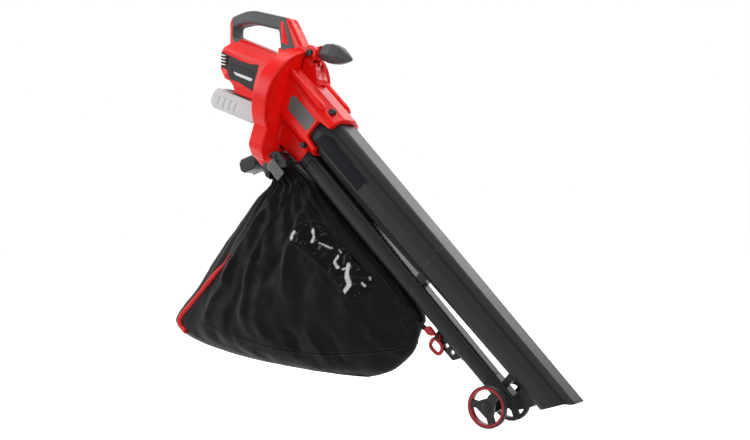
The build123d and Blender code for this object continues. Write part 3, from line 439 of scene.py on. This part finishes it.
def fold_height(x, z):
    """Height of the folds at a place on the side of the bag, in millimetres."""
    total = 0.0
    for rise, width, line in folds:
        away = (off_line(line, x, z) ** 2 + crest_round) ** 0.5
        total += rise * fold_fall ** (-away / (fold_reach * width))
    return total


def strip_faces(rows, around, closed=False):
    """Quads between rows of points, with a cap at both ends or, when closed, back round to the first row."""
    quads = []
    for r in range(rows if closed else rows - 1):
        here, there = r * around, (r + 1) % rows * around
        for k in range(around):
            ahead = (k + 1) % around
            quads.append((here + k, here + ahead, there + ahead, there + k))
    if not closed:
        quads += [tuple(range(around))[::-1], tuple(range((rows - 1) * around, rows * around))]
    return quads


bag_rings, bag_around = 190, 260
top_fade, bottom_fade = 0.05, 0.04     # shares of the height over which the relief dies out
bag_points = []
for r, row in enumerate(smooth_rows(rows, bag_rings)):
    down = r / (bag_rings - 1)
    fade = min(1.0, down / top_fade) * min(1.0, (1 - down) / bottom_fade)
    centre, length, half = Vector(row[0:3]), Vector(row[3:6]), row[6]
    for k in range(bag_around):
        angle = 2 * pi * k / bag_around
        across, side = cos(angle), sin(angle)
        point = centre + length * across + Vector((0, half * side, 0))
        outward = (length.normalized() * across * half + Vector((0, side * length.length, 0))).normalized()
        shift = 0.0 if side < 0 else 9.0
        pleat = cos(pleats * angle - pi) * (1 - down) ** 1.5
        push = fold_height(1000 * point.x + shift * 3, 1000 * point.z) + pleat_rise * pleat
        for along_x, along_z, offset, rise in noise_layers:
            push += rise * noise.noise(Vector((point.x * along_x, point.z * along_z, offset + shift)))
        bag_points.append(point + outward * cloth_gain * push / 1000 * fade * abs(side) ** 1.2)
bag_faces = strip_faces(bag_rings, bag_around)


def turn_outwards(mesh):
    """Turns the faces outwards on a closed mesh."""
    work = bmesh.new()
    work.from_mesh(mesh)
    bmesh.ops.recalc_face_normals(work, faces=work.faces)
    work.to_mesh(mesh)
    work.free()


def piece_of(name, points, faces, material, body, slot, closed=True, smooth=True):
    """Mesh piece with its material, on its body."""
    mesh = bpy.data.meshes.new(name)
    mesh.from_pydata([tuple(p) for p in points], [], faces)
    if closed:
        turn_outwards(mesh)
    if smooth:
        mesh.shade_smooth()
    mesh.materials.append(material)
    piece = bpy.data.objects.new(name, mesh)
    bpy.context.collection.objects.link(piece)
    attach(piece, body)
    return piece


bag_cloth = finish_of("black bag polyester", (0.004, 0.004, 0.0045), (0.008, 0.008, 0.0086), 0.5,
                      radius=0.0002, wear=0.0, grain=420, depth=0.1, dust=0.0, gloss=0.06)
set_inputs(bag_cloth.node_tree.nodes["Principled BSDF"], {"Sheen Weight": 0.14, "Sheen Roughness": 0.35})
bag = piece_of("leaf_bag_cloth", bag_points, bag_faces, bag_cloth, "body", "bag_cloth")
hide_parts("leaf_bag")


# --- Bag seams and welt ---
# Raised seams join the side panels to the gusset and frame the window. Each is a thin folded welt of the
# bag's own cloth, sewn down.
bag_tree = BVHTree.FromPolygons([tuple(v) for v in bag_points], bag_faces)


def on_bag(x, z, lift, side=-1):
    """Point on the bag's side over a place, X and Z in millimetres, lifted off the cloth, and its normal."""
    hit, normal = bag_tree.ray_cast(Vector((x / 1000, side * 0.5, z / 1000)), Vector((0, -side, 0)))[:2]
    if hit is None:
        hit, normal = bag_tree.find_nearest(Vector((x / 1000, side * 0.05, z / 1000)))[:2]
    if normal.y * side < 0:
        normal = -normal
    return hit + normal * lift, normal


def spaced(line, step):
    """Points along a polyline, rounded at its corners, about a step apart."""
    line = [Vector((*p, 0)) for p in line]
    for _ in range(3):
        cut = [line[0]]
        for a, b in zip(line, line[1:]):
            cut += [a.lerp(b, 0.25), a.lerp(b, 0.75)]
        line = cut + [line[-1]]
    result, left = [line[0]], step
    for a, b in zip(line, line[1:]):
        run = (b - a).length
        at = left
        while at < run:
            result.append(a.lerp(b, at / run))
            at += step
        left = at - run
    return [(p.x, p.y) for p in result + [line[-1]]]


def tube_along(spots, wide, high, sides=8):
    """Flat closed tube along pairs of point and normal, with a half width and a half height at each."""
    made = []
    for i, (point, normal) in enumerate(spots):
        ahead = (spots[min(i + 1, len(spots) - 1)][0] - spots[max(i - 1, 0)][0]).normalized()
        across = ahead.cross(normal).normalized()
        for k in range(sides):
            turn = 2 * pi * k / sides
            made.append(point + across * cos(turn) * wide[i] + normal * sin(turn) * high[i])
    return made, strip_faces(len(spots), sides)


window_line = ((134, -487), (146, -466), (172, -452), (196, -455), (216, -468), (248, -500), (294, -540),
               (328, -562), (338, -584), (322, -606), (297, -612), (279, -604), (258, -578), (210, -540),
               (166, -508), (143, -497), (134, -487))
seam_lines = {
    "gusset": ((-205, -700), (-155, -690), (-113, -684), (-25, -703), (84, -726), (182, -731), (269, -726),
               (380, -712), (415, -692)),
    "front": ((150, -380), (166, -415), (190, -446), (258, -492), (353, -567), (392, -618), (405, -672)),
    "window": window_line,
}
seam_half, seam_high = 0.0022, 0.0011
for name, line in seam_lines.items():
    for side, tag in ((-1, "right"), (1, "left")):
        if name == "window" and side > 0:
            continue
        spots = [on_bag(x, z, 0.0004, side) for x, z in spaced(line, 5.0)]
        made, quads = tube_along(spots, [seam_half] * len(spots), [seam_high] * len(spots))
        piece_of(f"bag_seam_{name}_{tag}", made, quads, bag_cloth, "body", "bag_cloth")


# --- Stitches ---
# Rows of short black stitches run beside the seams on the right side. One rule lays them all: points at an
# even pitch along a line, each with a small round stitch.
def lay_pieces(tree, inlet, outlet, points, piece, turn):
    """Ends a rule: the piece on every point, turned and made real, in the rule's material."""
    link = tree.links.new
    lay = tree.nodes.new("GeometryNodeInstanceOnPoints")
    real = tree.nodes.new("GeometryNodeRealizeInstances")
    finish = tree.nodes.new("GeometryNodeSetMaterial")
    link(points, lay.inputs["Points"])
    link(piece, lay.inputs["Instance"])
    link(turn, lay.inputs["Rotation"])
    link(lay.outputs["Instances"], real.inputs["Geometry"])
    link(real.outputs["Geometry"], finish.inputs["Geometry"])
    link(inlet.outputs["Material"], finish.inputs["Material"])
    link(finish.outputs["Geometry"], outlet.inputs["Geometry"])


def stitch_rule():
    """Geometry nodes: resamples lines at a pitch, and lays a short round stitch along them at each point."""
    inputs = [("Geometry", "Geometry"), ("Pitch", "Float", 0.004), ("Length", "Float", 0.0026),
              ("Thread", "Float", 0.0004), ("Material", "Material")]
    tree, inlet, outlet = new_group("Stitch row", "GeometryNodeTree", inputs, [("Geometry", "Geometry")])
    add, link = tree.nodes.new, tree.links.new
    line, even = add("GeometryNodeMeshToCurve"), add("GeometryNodeResampleCurve")
    even.mode = "LENGTH"
    stitch = add("GeometryNodeMeshCylinder")
    set_inputs(stitch, {"Vertices": 6})
    way, turn = add("GeometryNodeInputTangent"), add("FunctionNodeAlignEulerToVector")
    turn.axis = "Z"
    link(inlet.outputs["Geometry"], line.inputs["Mesh"])
    link(line.outputs["Curve"], even.inputs["Curve"])
    link(inlet.outputs["Pitch"], even.inputs["Length"])
    link(inlet.outputs["Length"], stitch.inputs["Depth"])
    link(inlet.outputs["Thread"], stitch.inputs["Radius"])
    link(way.outputs["Tangent"], turn.inputs["Vector"])
    lay_pieces(tree, inlet, outlet, even.outputs["Curve"], stitch.outputs["Mesh"], turn.outputs["Rotation"])
    return tree


def made_by(rule, name, mesh, inputs):
    """Runs a geometry nodes rule over a mesh, and keeps what it makes as a plain mesh on the body."""
    thing = bpy.data.objects.new(name, mesh)
    bpy.context.collection.objects.link(thing)
    modifier = thing.modifiers.new("rule", "NODES")
    modifier.node_group = rule
    sockets = {s.name: s.identifier for s in rule.interface.items_tree if s.in_out == "INPUT"}
    for key, value in inputs.items():
        modifier[sockets[key]] = value
    bpy.context.view_layer.update()
    graph = bpy.context.evaluated_depsgraph_get()
    plain = bpy.data.meshes.new_from_object(thing.evaluated_get(graph))
    thing.modifiers.remove(modifier)
    thing.data = plain
    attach(thing, "body")


stitches = stitch_rule()


def sew(name, rows, thread, pitch, length, thick):
    """Stitches along rows of points."""
    points, edges = [], []
    for row in rows:
        edges += [(len(points) + i, len(points) + i + 1) for i in range(len(row) - 1)]
        points += [tuple(p) for p in row]
    mesh = bpy.data.meshes.new(name)
    mesh.from_pydata(points, edges, [])
    made_by(stitches, name, mesh,
            {"Pitch": pitch, "Length": length, "Thread": thick, "Material": thread})


thread_black = finish_of("black thread", (0.03, 0.03, 0.032), (0.05, 0.05, 0.052), 0.7, radius=0.0001,
                         grain=3000)
for name, line in seam_lines.items():
    rows = []
    for offset in (4.2,) if name == "window" else (-4.0, 4.0):
        places = spaced(line, 4.0)
        row = []
        for i, (x, z) in enumerate(places):
            (x0, z0), (x1, z1) = places[max(i - 1, 0)], places[min(i + 1, len(places) - 1)]
            run = max(1e-6, ((x1 - x0) ** 2 + (z1 - z0) ** 2) ** 0.5)
            row.append(on_bag(x - offset * (z1 - z0) / run, z + offset * (x1 - x0) / run, 0.0003)[0])
        rows.append(row)
    sew(f"bag_stitches_{name}", rows, thread_black, 0.0045, 0.003, 0.00035)


# --- Clear window of the bag ---
# A strip of clear vinyl, sewn into the right side panel. The dark inside shows through it, and it has
# creased into sharp glossy facets, with pale glints painted into its colour along the hardest creases.
vinyl = bpy.data.materials.new("dark clear vinyl")
vinyl.use_nodes = True
tree = vinyl.node_tree
shader = tree.nodes["Principled BSDF"]
set_inputs(shader, {"Roughness": 0.12, "Specular IOR Level": 0.07})
# The pale colour is a painted highlight. Glints are painted into the vinyl's colour along its creases and
# mixed in by a point attribute.
glint_input, tone = tree.nodes.new("ShaderNodeAttribute"), tree.nodes.new("ShaderNodeMix")
glint_input.attribute_name = "painted_glint"
tone.data_type = "RGBA"
set_inputs(tone, {"A": (0.004, 0.004, 0.005, 1), "B": (0.62, 0.63, 0.64, 1)})
tree.links.new(glint_input.outputs["Fac"], tone.inputs["Factor"])
tree.links.new(tone.outputs["Result"], shader.inputs["Base Color"])

# Lines of painted highlight: pale glints painted along the vinyl's hardest creases.
painted_glint_lines = (      # half width and line, X and Z, in millimetres
    (3.2, ((139, -492), (143, -481), (147, -474))), (3.4, ((186, -470), (190, -483), (187, -494))),
    (1.2, ((205, -497), (222, -505), (230, -508))), (2.4, ((246, -524), (243, -537), (252, -548))),
    (4.2, ((272, -542), (273, -562), (283, -582), (276, -597))), (1.8, ((262, -551), (272, -548))),
    (1.5, ((309, -577), (317, -584))), (1.2, ((319, -566), (322, -572))), (1.0, ((247, -511), (252, -517))),
)
crease_high = 0.0022


def depth_inside(outline, x, z):
    """Depth of a place inside a closed outline, negative outside it."""
    inside = False
    for (x0, z0), (x1, z1) in zip(outline, outline[1:]):
        if (z0 > z) != (z1 > z) and x < x0 + (z - z0) * (x1 - x0) / (z1 - z0):
            inside = not inside
    return off_line(outline, x, z) * (1 if inside else -1)


def grid_faces(spots):
    """Quads over a grid of numbered points, wherever all four corners are there."""
    return [(spots[i, j], spots[i + 1, j], spots[i + 1, j + 1], spots[i, j + 1]) for i, j in spots
            if (i + 1, j) in spots and (i, j + 1) in spots and (i + 1, j + 1) in spots]


def ripple(x, z, long, high, layer):
    """Smooth noise over the window, with waves of a length and a height in millimetres."""
    return noise.noise(Vector((x / long, z / high, layer)))


pitch = 1.6
rear_edge, low_edge, long, high = 126, -620, 220, 175
spots, points, painted_glint = {}, [], []
for i in range(int(long / pitch)):
    for j in range(int(high / pitch)):
        x, z = rear_edge + i * pitch, low_edge + j * pitch
        depth = depth_inside(window_line, x, z)
        if depth < -0.5:
            continue
        spots[i, j] = len(points)
        crease = 1 - min(1.0, abs(ripple(x, z, 24, 15, 1.0)) * 3.2)
        crease += 0.5 * (1 - min(1.0, abs(ripple(x, z, 10, 8, 4.0)) * 2.8))
        place, normal = on_bag(x, z, 0.0005)
        points.append(place + normal * crease_high * crease * min(1.0, max(0.0, depth) / 5))
        # Share of painted highlight at this point, ragged at its edge.
        ragged = 1.2 * ripple(x, z, 5, 5, 2.0)
        glint_share = max((width - off_line(line, x, z) - ragged) / 1.2 + 0.5 for width, line in painted_glint_lines)
        painted_glint.append(min(1.0, max(0.0, glint_share)))
window = piece_of("bag_window", points, grid_faces(spots), vinyl, "body", "bag_cloth", closed=False)
window.data.attributes.new("painted_glint", "FLOAT", "POINT").data.foreach_set("value", painted_glint)


# --- Zip cover at the bag's rear ---
# A roll of red cloth covers the zip that empties the bag. It thickens towards the bottom, and a row of red
# stitches holds it on either side.
zip_red = finish_of("red zip cloth", (0.55, 0.006, 0.006), (0.72, 0.014, 0.01), 0.5, radius=0.0003, wear=0.0,
                    depth=0.08, dust=0.0)
zip_line = ((-38, -524), (-60, -541), (-92, -566), (-124, -594), (-156, -622), (-186, -648), (-212, -668),
            (-222, -684), (-212, -702), (-198, -706))
tip_half, swell, flare = 0.0012, 0.0058, 0.0016
swell_rate, flare_from = 3.4, 0.82      # per length of the roll, and share of its length
flatness, stitch_spread = 0.75, 0.62
spots = [on_bag(x, z, 0.0012) for x, z in spaced(zip_line, 4.0)]
wide = []
for i in range(len(spots)):
    down = i / len(spots)
    wide.append(tip_half + swell * min(1.0, down * swell_rate)
                + flare * max(0.0, down - flare_from) / (1 - flare_from))
roll = tube_along(spots, wide, [flatness * w for w in wide], 12)
piece_of("zip_cover", *roll, zip_red, "body", "ring_red")
thread_red = finish_of("red thread", (0.4, 0.01, 0.01), (0.5, 0.02, 0.02), 0.7, radius=0.0001, grain=3000)
rows = []
for way in (-1.0, 1.0):
    row = []
    for i, (place, normal) in enumerate(spots[2:-2]):
        ahead = (spots[i + 3][0] - spots[i + 1][0]).normalized()
        away = wide[i + 2] * stitch_spread
        row.append(place + ahead.cross(normal).normalized() * way * away + normal * away)
    rows.append(row)
sew("zip_stitches", rows, thread_red, 0.004, 0.0026, 0.0003)


# --- Ridges along the neck ---
# A rounded ridge runs down each side of the intake neck, moulded with it in the same scarlet ABS. It ends
# just short of the upper clamp knob.
ridge_half, ridge_end = 0.0078, [0.0072, 0.0058, 0.0028]
for side, tag in ((-1, "right"), (1, "left")):
    spots = [(tube_place(along, -10, side * 45), Vector((0, side, 0))) for along in range(150, 303, 6)]
    sizes = [ridge_half] * (len(spots) - len(ridge_end)) + ridge_end
    made, quads = tube_along(spots, sizes, sizes, 20)
    piece_of(f"neck_ridge_{tag}", made, quads, scarlet, "body", "red_shell")


# --- Side panels' inset plates ---
# Each side panel has a bare gloss black plate set into it, with a bare silver strip below. Both are thin
# pressed plates, glued into the recess.
motor_tilt = radians(20)
fan_middle = (81, -178)


def fan_place(back, up, side=0.0):
    """Point along the motor axis, up from it, and sideways, all in millimetres, as metres."""
    x = fan_middle[0] + back * cos(motor_tilt) + up * sin(motor_tilt)
    z = fan_middle[1] - back * sin(motor_tilt) + up * cos(motor_tilt)
    return Vector((x, side, z)) / 1000


def plate_of(corners, place, inner, outer, round_by=1.0):
    """Closed plate over an outline, between two distances from the middle plane, with its corners cut."""
    points = []
    for i, corner in enumerate(corners):
        here = Vector(corner)
        for other in (corners[i - 1], corners[(i + 1) % len(corners)]):
            away = Vector(other) - here
            points.append(here + away.normalized() * min(round_by, away.length / 3))
    made = [place(p.x, p.y, y) for y in (inner, outer) for p in points]
    count = len(points)
    quads = [(i, (i + 1) % count, count + (i + 1) % count, count + i) for i in range(count)]
    return made, quads + [tuple(range(count)), tuple(range(count, 2 * count))]


gloss_black = finish_of("gloss black plate", (0.006, 0.006, 0.007), (0.012, 0.012, 0.014), 0.22,
                        radius=0.0004, wear=0.1, depth=0.002, dust=0.0, gloss=0.08)
silver = finish_of("brushed silver plate", (0.24, 0.24, 0.25), (0.34, 0.34, 0.35), 0.4, radius=0.0003,
                   wear=0.1, grain=1300, depth=0.06, metallic=0.6, dust=0.0)
recess_floor, plate_face, strip_face = 43.7, 44.7, 44.4
for side, tag in ((-1, "right"), (1, "left")):
    black = plate_of(((-157, 28), (-88, 27), (-83, 15), (-151, 14)), fan_place,
                     side * recess_floor, side * plate_face, 3)
    strip = plate_of(((-147, 13), (-85, 13), (-86, 6), (-137, 7)), fan_place,
                     side * recess_floor, side * strip_face, 2)
    piece_of(f"panel_plate_{tag}", *black, gloss_black, "body", "dark_plastic", smooth=False)
    piece_of(f"panel_strip_{tag}", *strip, silver, "body", "steel", smooth=False)


# --- Bare label on the suction tube ---
# A bare dark film label lies on the right side of the upper tube, just below the neck. It is glued down,
# and follows the belly of the tube.
def surface_of(*nodes):
    """Search tree over the faces of CAD pieces."""
    points, faces = [], []
    for node in nodes:
        mesh = frame["nodes"][node].data
        faces += [tuple(i + len(points) for i in p.vertices) for p in mesh.polygons]
        points += [v.co.copy() for v in mesh.vertices]
    return BVHTree.FromPolygons(points, faces)


tube_surface = surface_of("suction_tube_upper")
label_line = ((322, -76), (330, -50), (350, -41), (482, -46), (478, -76), (322, -76))
label_lift, label_pitch = 0.0007, 2
spots, points = {}, []
for i in range(82):
    for j in range(22):
        along, across = 321 + label_pitch * i, -78 + label_pitch * j
        if depth_inside(label_line, along, across) < 0:
            continue
        hit, normal = tube_surface.ray_cast(tube_place(along, across, -200), Vector((0, 1, 0)))[:2]
        spots[i, j] = len(points)
        points.append(hit + normal * label_lift)
film = finish_of("bare dark film", (0.009, 0.008, 0.011), (0.013, 0.011, 0.015), 0.25, radius=0.0002,
                 wear=0.0, depth=0.0, dust=0.0, gloss=0.1)
piece_of("tube_label", points, grid_faces(spots), film, "body", "dark_plastic", closed=False)


# --- Button at the tube seam ---
# A sprung button of black polypropylene snaps through the suction tube's crown, and holds the lower tube on
# the upper one. A raised ring stands round it.
def smooth_by(piece, degrees):
    """Smooth shading with sharp edges past an angle."""
    piece.data.shade_smooth()
    piece.data.set_sharp_from_angle(angle=radians(degrees))


crown_side = Vector((0, -0.55, 0)) + crown * 0.84
above = tube_place(703, -54, -10) + crown_side * 0.2
hit, normal = tube_surface.ray_cast(above, -crown_side)[:2]
flat = normal.orthogonal().normalized()
other = normal.cross(flat)
button_rows = ((5.2, -1), (5.2, 0.7), (4.2, 0.9), (3.6, 0.3), (3.3, 1.2), (1.8, 2.1), (0.2, 2.3))
button_around = 24
made = []
for radius, lift in button_rows:
    for k in range(button_around):
        turn = 2 * pi * k / button_around
        made.append(hit + (flat * radius * cos(turn) + other * radius * sin(turn) + normal * lift) / 1000)
button = piece_of("tube_button", made, strip_faces(len(button_rows), button_around), black_plastic, "body",
                  "dark_plastic")
smooth_by(button, 40)


# --- Web between the tubes ---
# A thin black polypropylene web under the suction tube bears on the blow tube, and keeps the two from
# rattling. It is welded along the upper tube.
web_line = ((322, -114), (322, -93), (500, -89), (668, -86), (690, -90), (690, -106), (430, -115))
piece_of("tube_web", *plate_of(web_line, tube_place, -2, 2, 2), black_plastic, "body", "dark_plastic",
         smooth=False)


# --- Wheels ---
# Each wheel is a black polypropylene spider of three wide flared spokes, moulded onto a crimson rim, with a
# thin rubber tyre. The windows between the spokes are open right through.
wheel_middle = Vector((0.597, 0, -0.801))
bore = 4.3
spoke_half, spoke_chord, spoke_reach = 6.6, 16, 38.4
first_spoke, third = radians(50), 2 * pi / 3
tread_section = ((38.1, 53.9), (38.6, 54.5), (39.4, 54.2), (40, 53), (40, 43.6), (39.2, 42), (37, 41.4),
                 (34, 41.5), (32.9, 42.2), (32.9, 43.2), (38.1, 43.4))
rim_section = ((32.8, 43.2), (38.2, 43.3), (38.2, 53.8), (37.6, 54.3), (33.8, 54.3), (32.8, 53.2))
boss_section = ((bore, 33.7), (9.2, 33.7), (10, 34.5), (10, 47), (bore, 47))
cap_section = ((0.05, 54.4), (9, 54.4), (9, 56.2), (7.6, 57.8), (4, 58.8), (0.05, 59))


def wheel_place(angle, radius, out):
    """Point at an angle about the axle, at a radius and a distance sideways in millimetres."""
    return wheel_middle + Vector((radius * cos(angle), out, radius * sin(angle))) / 1000


def turned(section, side, steps=72):
    """Closed ring turned about the axle from a section of radius and distance out, in millimetres."""
    made = [wheel_place(2 * pi * k / steps, radius, side * out)
            for k in range(steps) for radius, out in section]
    return made, strip_faces(steps, len(section), closed=True)


def spider(side, steps=180):
    """The three spokes and their boss: a flared star with a bore."""
    made = []
    for k in range(steps):
        angle = 2 * pi * k / steps
        off = abs((angle - first_spoke + third / 2) % third - third / 2)
        reach = min(spoke_reach, max(spoke_half / max(sin(off), 0.01), spoke_chord / cos(third / 2 - off)))
        section = ((bore, 46.0), (reach, 46.0), (reach, 53.3), (reach - 0.9, 54.2), (bore, 54.4))
        made += [wheel_place(angle, radius, side * out) for radius, out in section]
    return made, strip_faces(steps, len(section), closed=True)


crimson = finish_of("crimson rim", (0.32, 0.008, 0.012), (0.42, 0.014, 0.02), 0.3, radius=0.0006, wear=0.1,
                    dust=0.0)
tyre_rubber = finish_of("tyre rubber", (0.012, 0.012, 0.013), (0.02, 0.02, 0.021), 0.6, wear=0.2, grain=500,
                        depth=0.08)
for side, tag in ((-1, "right"), (1, "left")):
    wheel = f"{tag}_wheel"
    tyre = piece_of(f"wheel_tread_{tag}", *turned(tread_section, side), tyre_rubber, wheel, "tyre_black")
    rim = piece_of(f"wheel_rim_{tag}", *turned(rim_section, side), crimson, wheel, "ring_red")
    arms = piece_of(f"wheel_spider_{tag}", *spider(side), black_plastic, wheel, "dark_plastic")
    boss = piece_of(f"wheel_boss_{tag}", *turned(boss_section, side, 36), black_plastic, wheel,
                    "dark_plastic")
    cap = piece_of(f"wheel_cap_{tag}", *turned(cap_section, side, 36), black_plastic, "body",
                   "dark_plastic")
    for piece in (tyre, rim, arms, boss, cap):
        smooth_by(piece, 35)
    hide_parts(f"wheel_tyre_{tag}")
    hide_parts(f"wheel_ring_{tag}")
    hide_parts(f"wheel_hub_{tag}")
    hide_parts(f"axle_cap_{tag}")


# --- Wheel carrier ---
# A black polypropylene carrier plugs onto the end of the blow tube and holds the axle. A ribbed block
# behind it bears on the suction tube.
carrier_axis = -131.5
carrier_half_line = ((0.62, 1), (0.84, 0.72), (0.77, 0.52), (1, 0.2), (1, -0.62), (0.72, -1))
carrier_line = carrier_half_line + tuple((-a, b) for a, b in carrier_half_line[::-1])
stations = ((947, 18.7, 16.7), (960, 18.6, 16.6), (996, 18.2, 16.2), (1003, 17.4, 15.2), (1006, 15.5, 13.2))
made = [tube_place(along, carrier_axis + high * b, half * a) for along, half, high in stations
        for a, b in carrier_line]
carrier = piece_of("wheel_carrier", made, strip_faces(len(stations), len(carrier_line)), black_plastic,
                   "body", "dark_plastic")
smooth_by(carrier, 40)
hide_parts("wheel_bracket")
carrier_plates = [
    ("block", ((1001, -86), (1038, -86), (1034, -104), (1014, -132), (1001, -134)), -17, 17),
    ("clip", ((962, -86), (975, -86), (977, -100), (974, -116), (964, -116)), -10, 10),
    ("lug", ((968, -140), (1004, -140), (1000, -160), (990, -166), (978, -164), (970, -156)), -28, 28),
]
rib_line = ((1003, -88), (1040, -88), (1036, -106), (1016, -136), (1003, -137))
rib_pitch, rib_thick = 7.4, 2
carrier_plates += [(f"rib_{i + 1}", rib_line, -16 + rib_pitch * i, -16 + rib_thick + rib_pitch * i)
                   for i in range(5)]
for tag, line, inner, outer in carrier_plates:
    piece_of(f"carrier_{tag}", *plate_of(line, tube_place, inner, outer, 3), black_plastic, "body",
             "dark_plastic", smooth=False)


# --- Hook ring and the bag's snap ---
# The bag's front end hangs on the rail by a crimson ring of round bar. A short webbing tab with a crimson
# snap joins the bag to it.
def ring_of(line, cuts, thick, deep, side=-8.0, sides=14):
    """Closed round bar along a line in the side view, in millimetres, with its corners cut a few times."""
    rounded = [Vector(p) for p in line]
    for _ in range(cuts):
        rounded = [a.lerp(b, f) for a, b in zip(rounded, rounded[1:] + rounded[:1]) for f in (0.22, 0.78)]
    made = []
    for i, spot in enumerate(rounded):
        ahead = (rounded[(i + 1) % len(rounded)] - rounded[i - 1]).normalized()
        across = Vector((ahead.y, -ahead.x))
        for k in range(sides):
            turn = 2 * pi * k / sides
            at = spot + across * cos(turn) * thick
            made.append(Vector((at.x, side + deep * sin(turn), at.y)) / 1000)
    return made, strip_faces(len(rounded), sides, closed=True)


def side_place(x, z, side=0.0):
    """Point of the side view and sideways, in millimetres, as metres."""
    return Vector((x, side, z)) / 1000


ring_line = ((453.5, -683.5), (443, -700), (462.5, -717), (473, -709), (473, -698), (465, -689))
eye_line = [(463 + 5 * cos(pi * k / 6), -682 + 5 * sin(pi * k / 6)) for k in range(12)]
ring = piece_of("bag_ring", *ring_of(ring_line, 2, 4.1, 3.2), crimson, "bag_hook", "hook_red")
piece_of("bag_ring_eye", *ring_of(eye_line, 0, 2.3, 2.6), crimson, "bag_hook", "hook_red")
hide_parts("hook_ring")
snap_line = ((440, -664), (441, -671), (448, -677), (458, -679), (464, -676), (456, -666), (448, -659))
piece_of("bag_snap", *plate_of(snap_line, side_place, -22, -13, 2), crimson, "body", "hook_red",
         smooth=False)
webbing = finish_of("black webbing", (0.01, 0.01, 0.011), (0.02, 0.02, 0.021), 0.7, radius=0.0002, wear=0.0,
                    grain=1400, depth=0.2, dust=0.0, gloss=0.1)
tab_half, tab_thick = 0.0055, 0.0012
tab_line = ((404, -650, -16), (418, -655, -17), (432, -661, -17), (446, -668, -17.5))
spots = [(side_place(*place), Vector((0, -1, 0))) for place in tab_line]
made, quads = tube_along(spots, [tab_half] * 4, [tab_thick] * 4)
piece_of("bag_tab", made, quads, webbing, "body", "bag_cloth")


# --- Screws ---
# Self-tapping zinc-plated screws join the shell halves from the left side. Each has a round head with a
# six-sided drive standing in its middle.
def screw_rule():
    """Geometry nodes: a screw head on every point, turned to the direction that the point carries."""
    inputs = [("Geometry", "Geometry"), ("Head", "Float", 0.0035), ("Material", "Material")]
    tree, inlet, outlet = new_group("Screw heads", "GeometryNodeTree", inputs, [("Geometry", "Geometry")])
    add, link = tree.nodes.new, tree.links.new
    way, turn = add("GeometryNodeInputNamedAttribute"), add("FunctionNodeAlignEulerToVector")
    way.data_type = "FLOAT_VECTOR"
    set_inputs(way, {"Name": "facing"})
    turn.axis = "Z"
    head, drive = add("GeometryNodeMeshCone"), add("GeometryNodeMeshCylinder")
    join = add("GeometryNodeJoinGeometry")
    set_inputs(head, {"Vertices": 20, "Depth": 0.0011})
    set_inputs(drive, {"Vertices": 6, "Depth": 0.0024})
    link(inlet.outputs["Head"], head.inputs["Radius Bottom"])
    link(scaled(tree, inlet.outputs["Head"], 0.86), head.inputs["Radius Top"])
    link(scaled(tree, inlet.outputs["Head"], 0.4), drive.inputs["Radius"])
    link(head.outputs["Mesh"], join.inputs["Geometry"])
    link(drive.outputs["Mesh"], join.inputs["Geometry"])
    link(way.outputs["Attribute"], turn.inputs["Vector"])
    lay_pieces(tree, inlet, outlet, inlet.outputs["Geometry"], join.outputs["Geometry"],
               turn.outputs["Rotation"])
    return tree


screw_steel = finish_of("zinc screw", (0.3, 0.3, 0.31), (0.45, 0.45, 0.46), 0.35, metallic=1.0,
                        radius=0.0003, dust=0.0)
left_shell = surface_of("handle_housing_left", "fan_housing_left")
screw_lift = 0.0004
points, facing = [], []
for x, z in ((150, -120), (-30, -80)):
    hit, normal = left_shell.ray_cast(Vector((x / 1000, 0.5, z / 1000)), Vector((0, -1, 0)))[:2]
    points.append(tuple(hit + normal * screw_lift))
    facing += list(normal)
mesh = bpy.data.meshes.new("screw_places")
mesh.from_pydata(points, [], [])
mesh.attributes.new("facing", "FLOAT_VECTOR", "POINT").data.foreach_set("vector", facing)
made_by(screw_rule(), "shell_screws", mesh, {"Head": 0.0035, "Material": screw_steel})


# --- Smooth skins of the moulded pieces ---
# The curved mouldings come from polished tools, so their faces run into each other without a visible facet.
# Each has the shape and the finish of its CAD piece.
skins = {
    "red_shell": ("fan_housing_right", "fan_housing_left", "handle_housing_right", "handle_housing_left",
                  "intake_neck", "blow_duct", "grip_yoke"),
    "soft_dark": ("soft_grip",),
    "dark_plastic": ("suction_tube_upper", "suction_tube_lower", "blow_tube_upper", "blow_tube_lower",
                     "bag_collar", "selector_lever"),
    "battery_case": ("battery_pack",),
}
for slot, node in [(slot, node) for slot, nodes in skins.items() for node in nodes]:
    original = frame["nodes"][node]
    work = bmesh.new()
    work.from_mesh(original.data)
    bmesh.ops.remove_doubles(work, verts=work.verts, dist=0.00001)
    mesh = bpy.data.meshes.new(node + "_skin")
    work.to_mesh(mesh)
    work.free()
    mesh.materials.append(original.material_slots[0].material)
    skin = bpy.data.objects.new(node + "_skin", mesh)
    bpy.context.collection.objects.link(skin)
    smooth_by(skin, 32)
    weigh = skin.modifiers.new("even shading", "WEIGHTED_NORMAL")
    weigh.keep_sharp = True
    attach(skin, original["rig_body"])
    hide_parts(node)
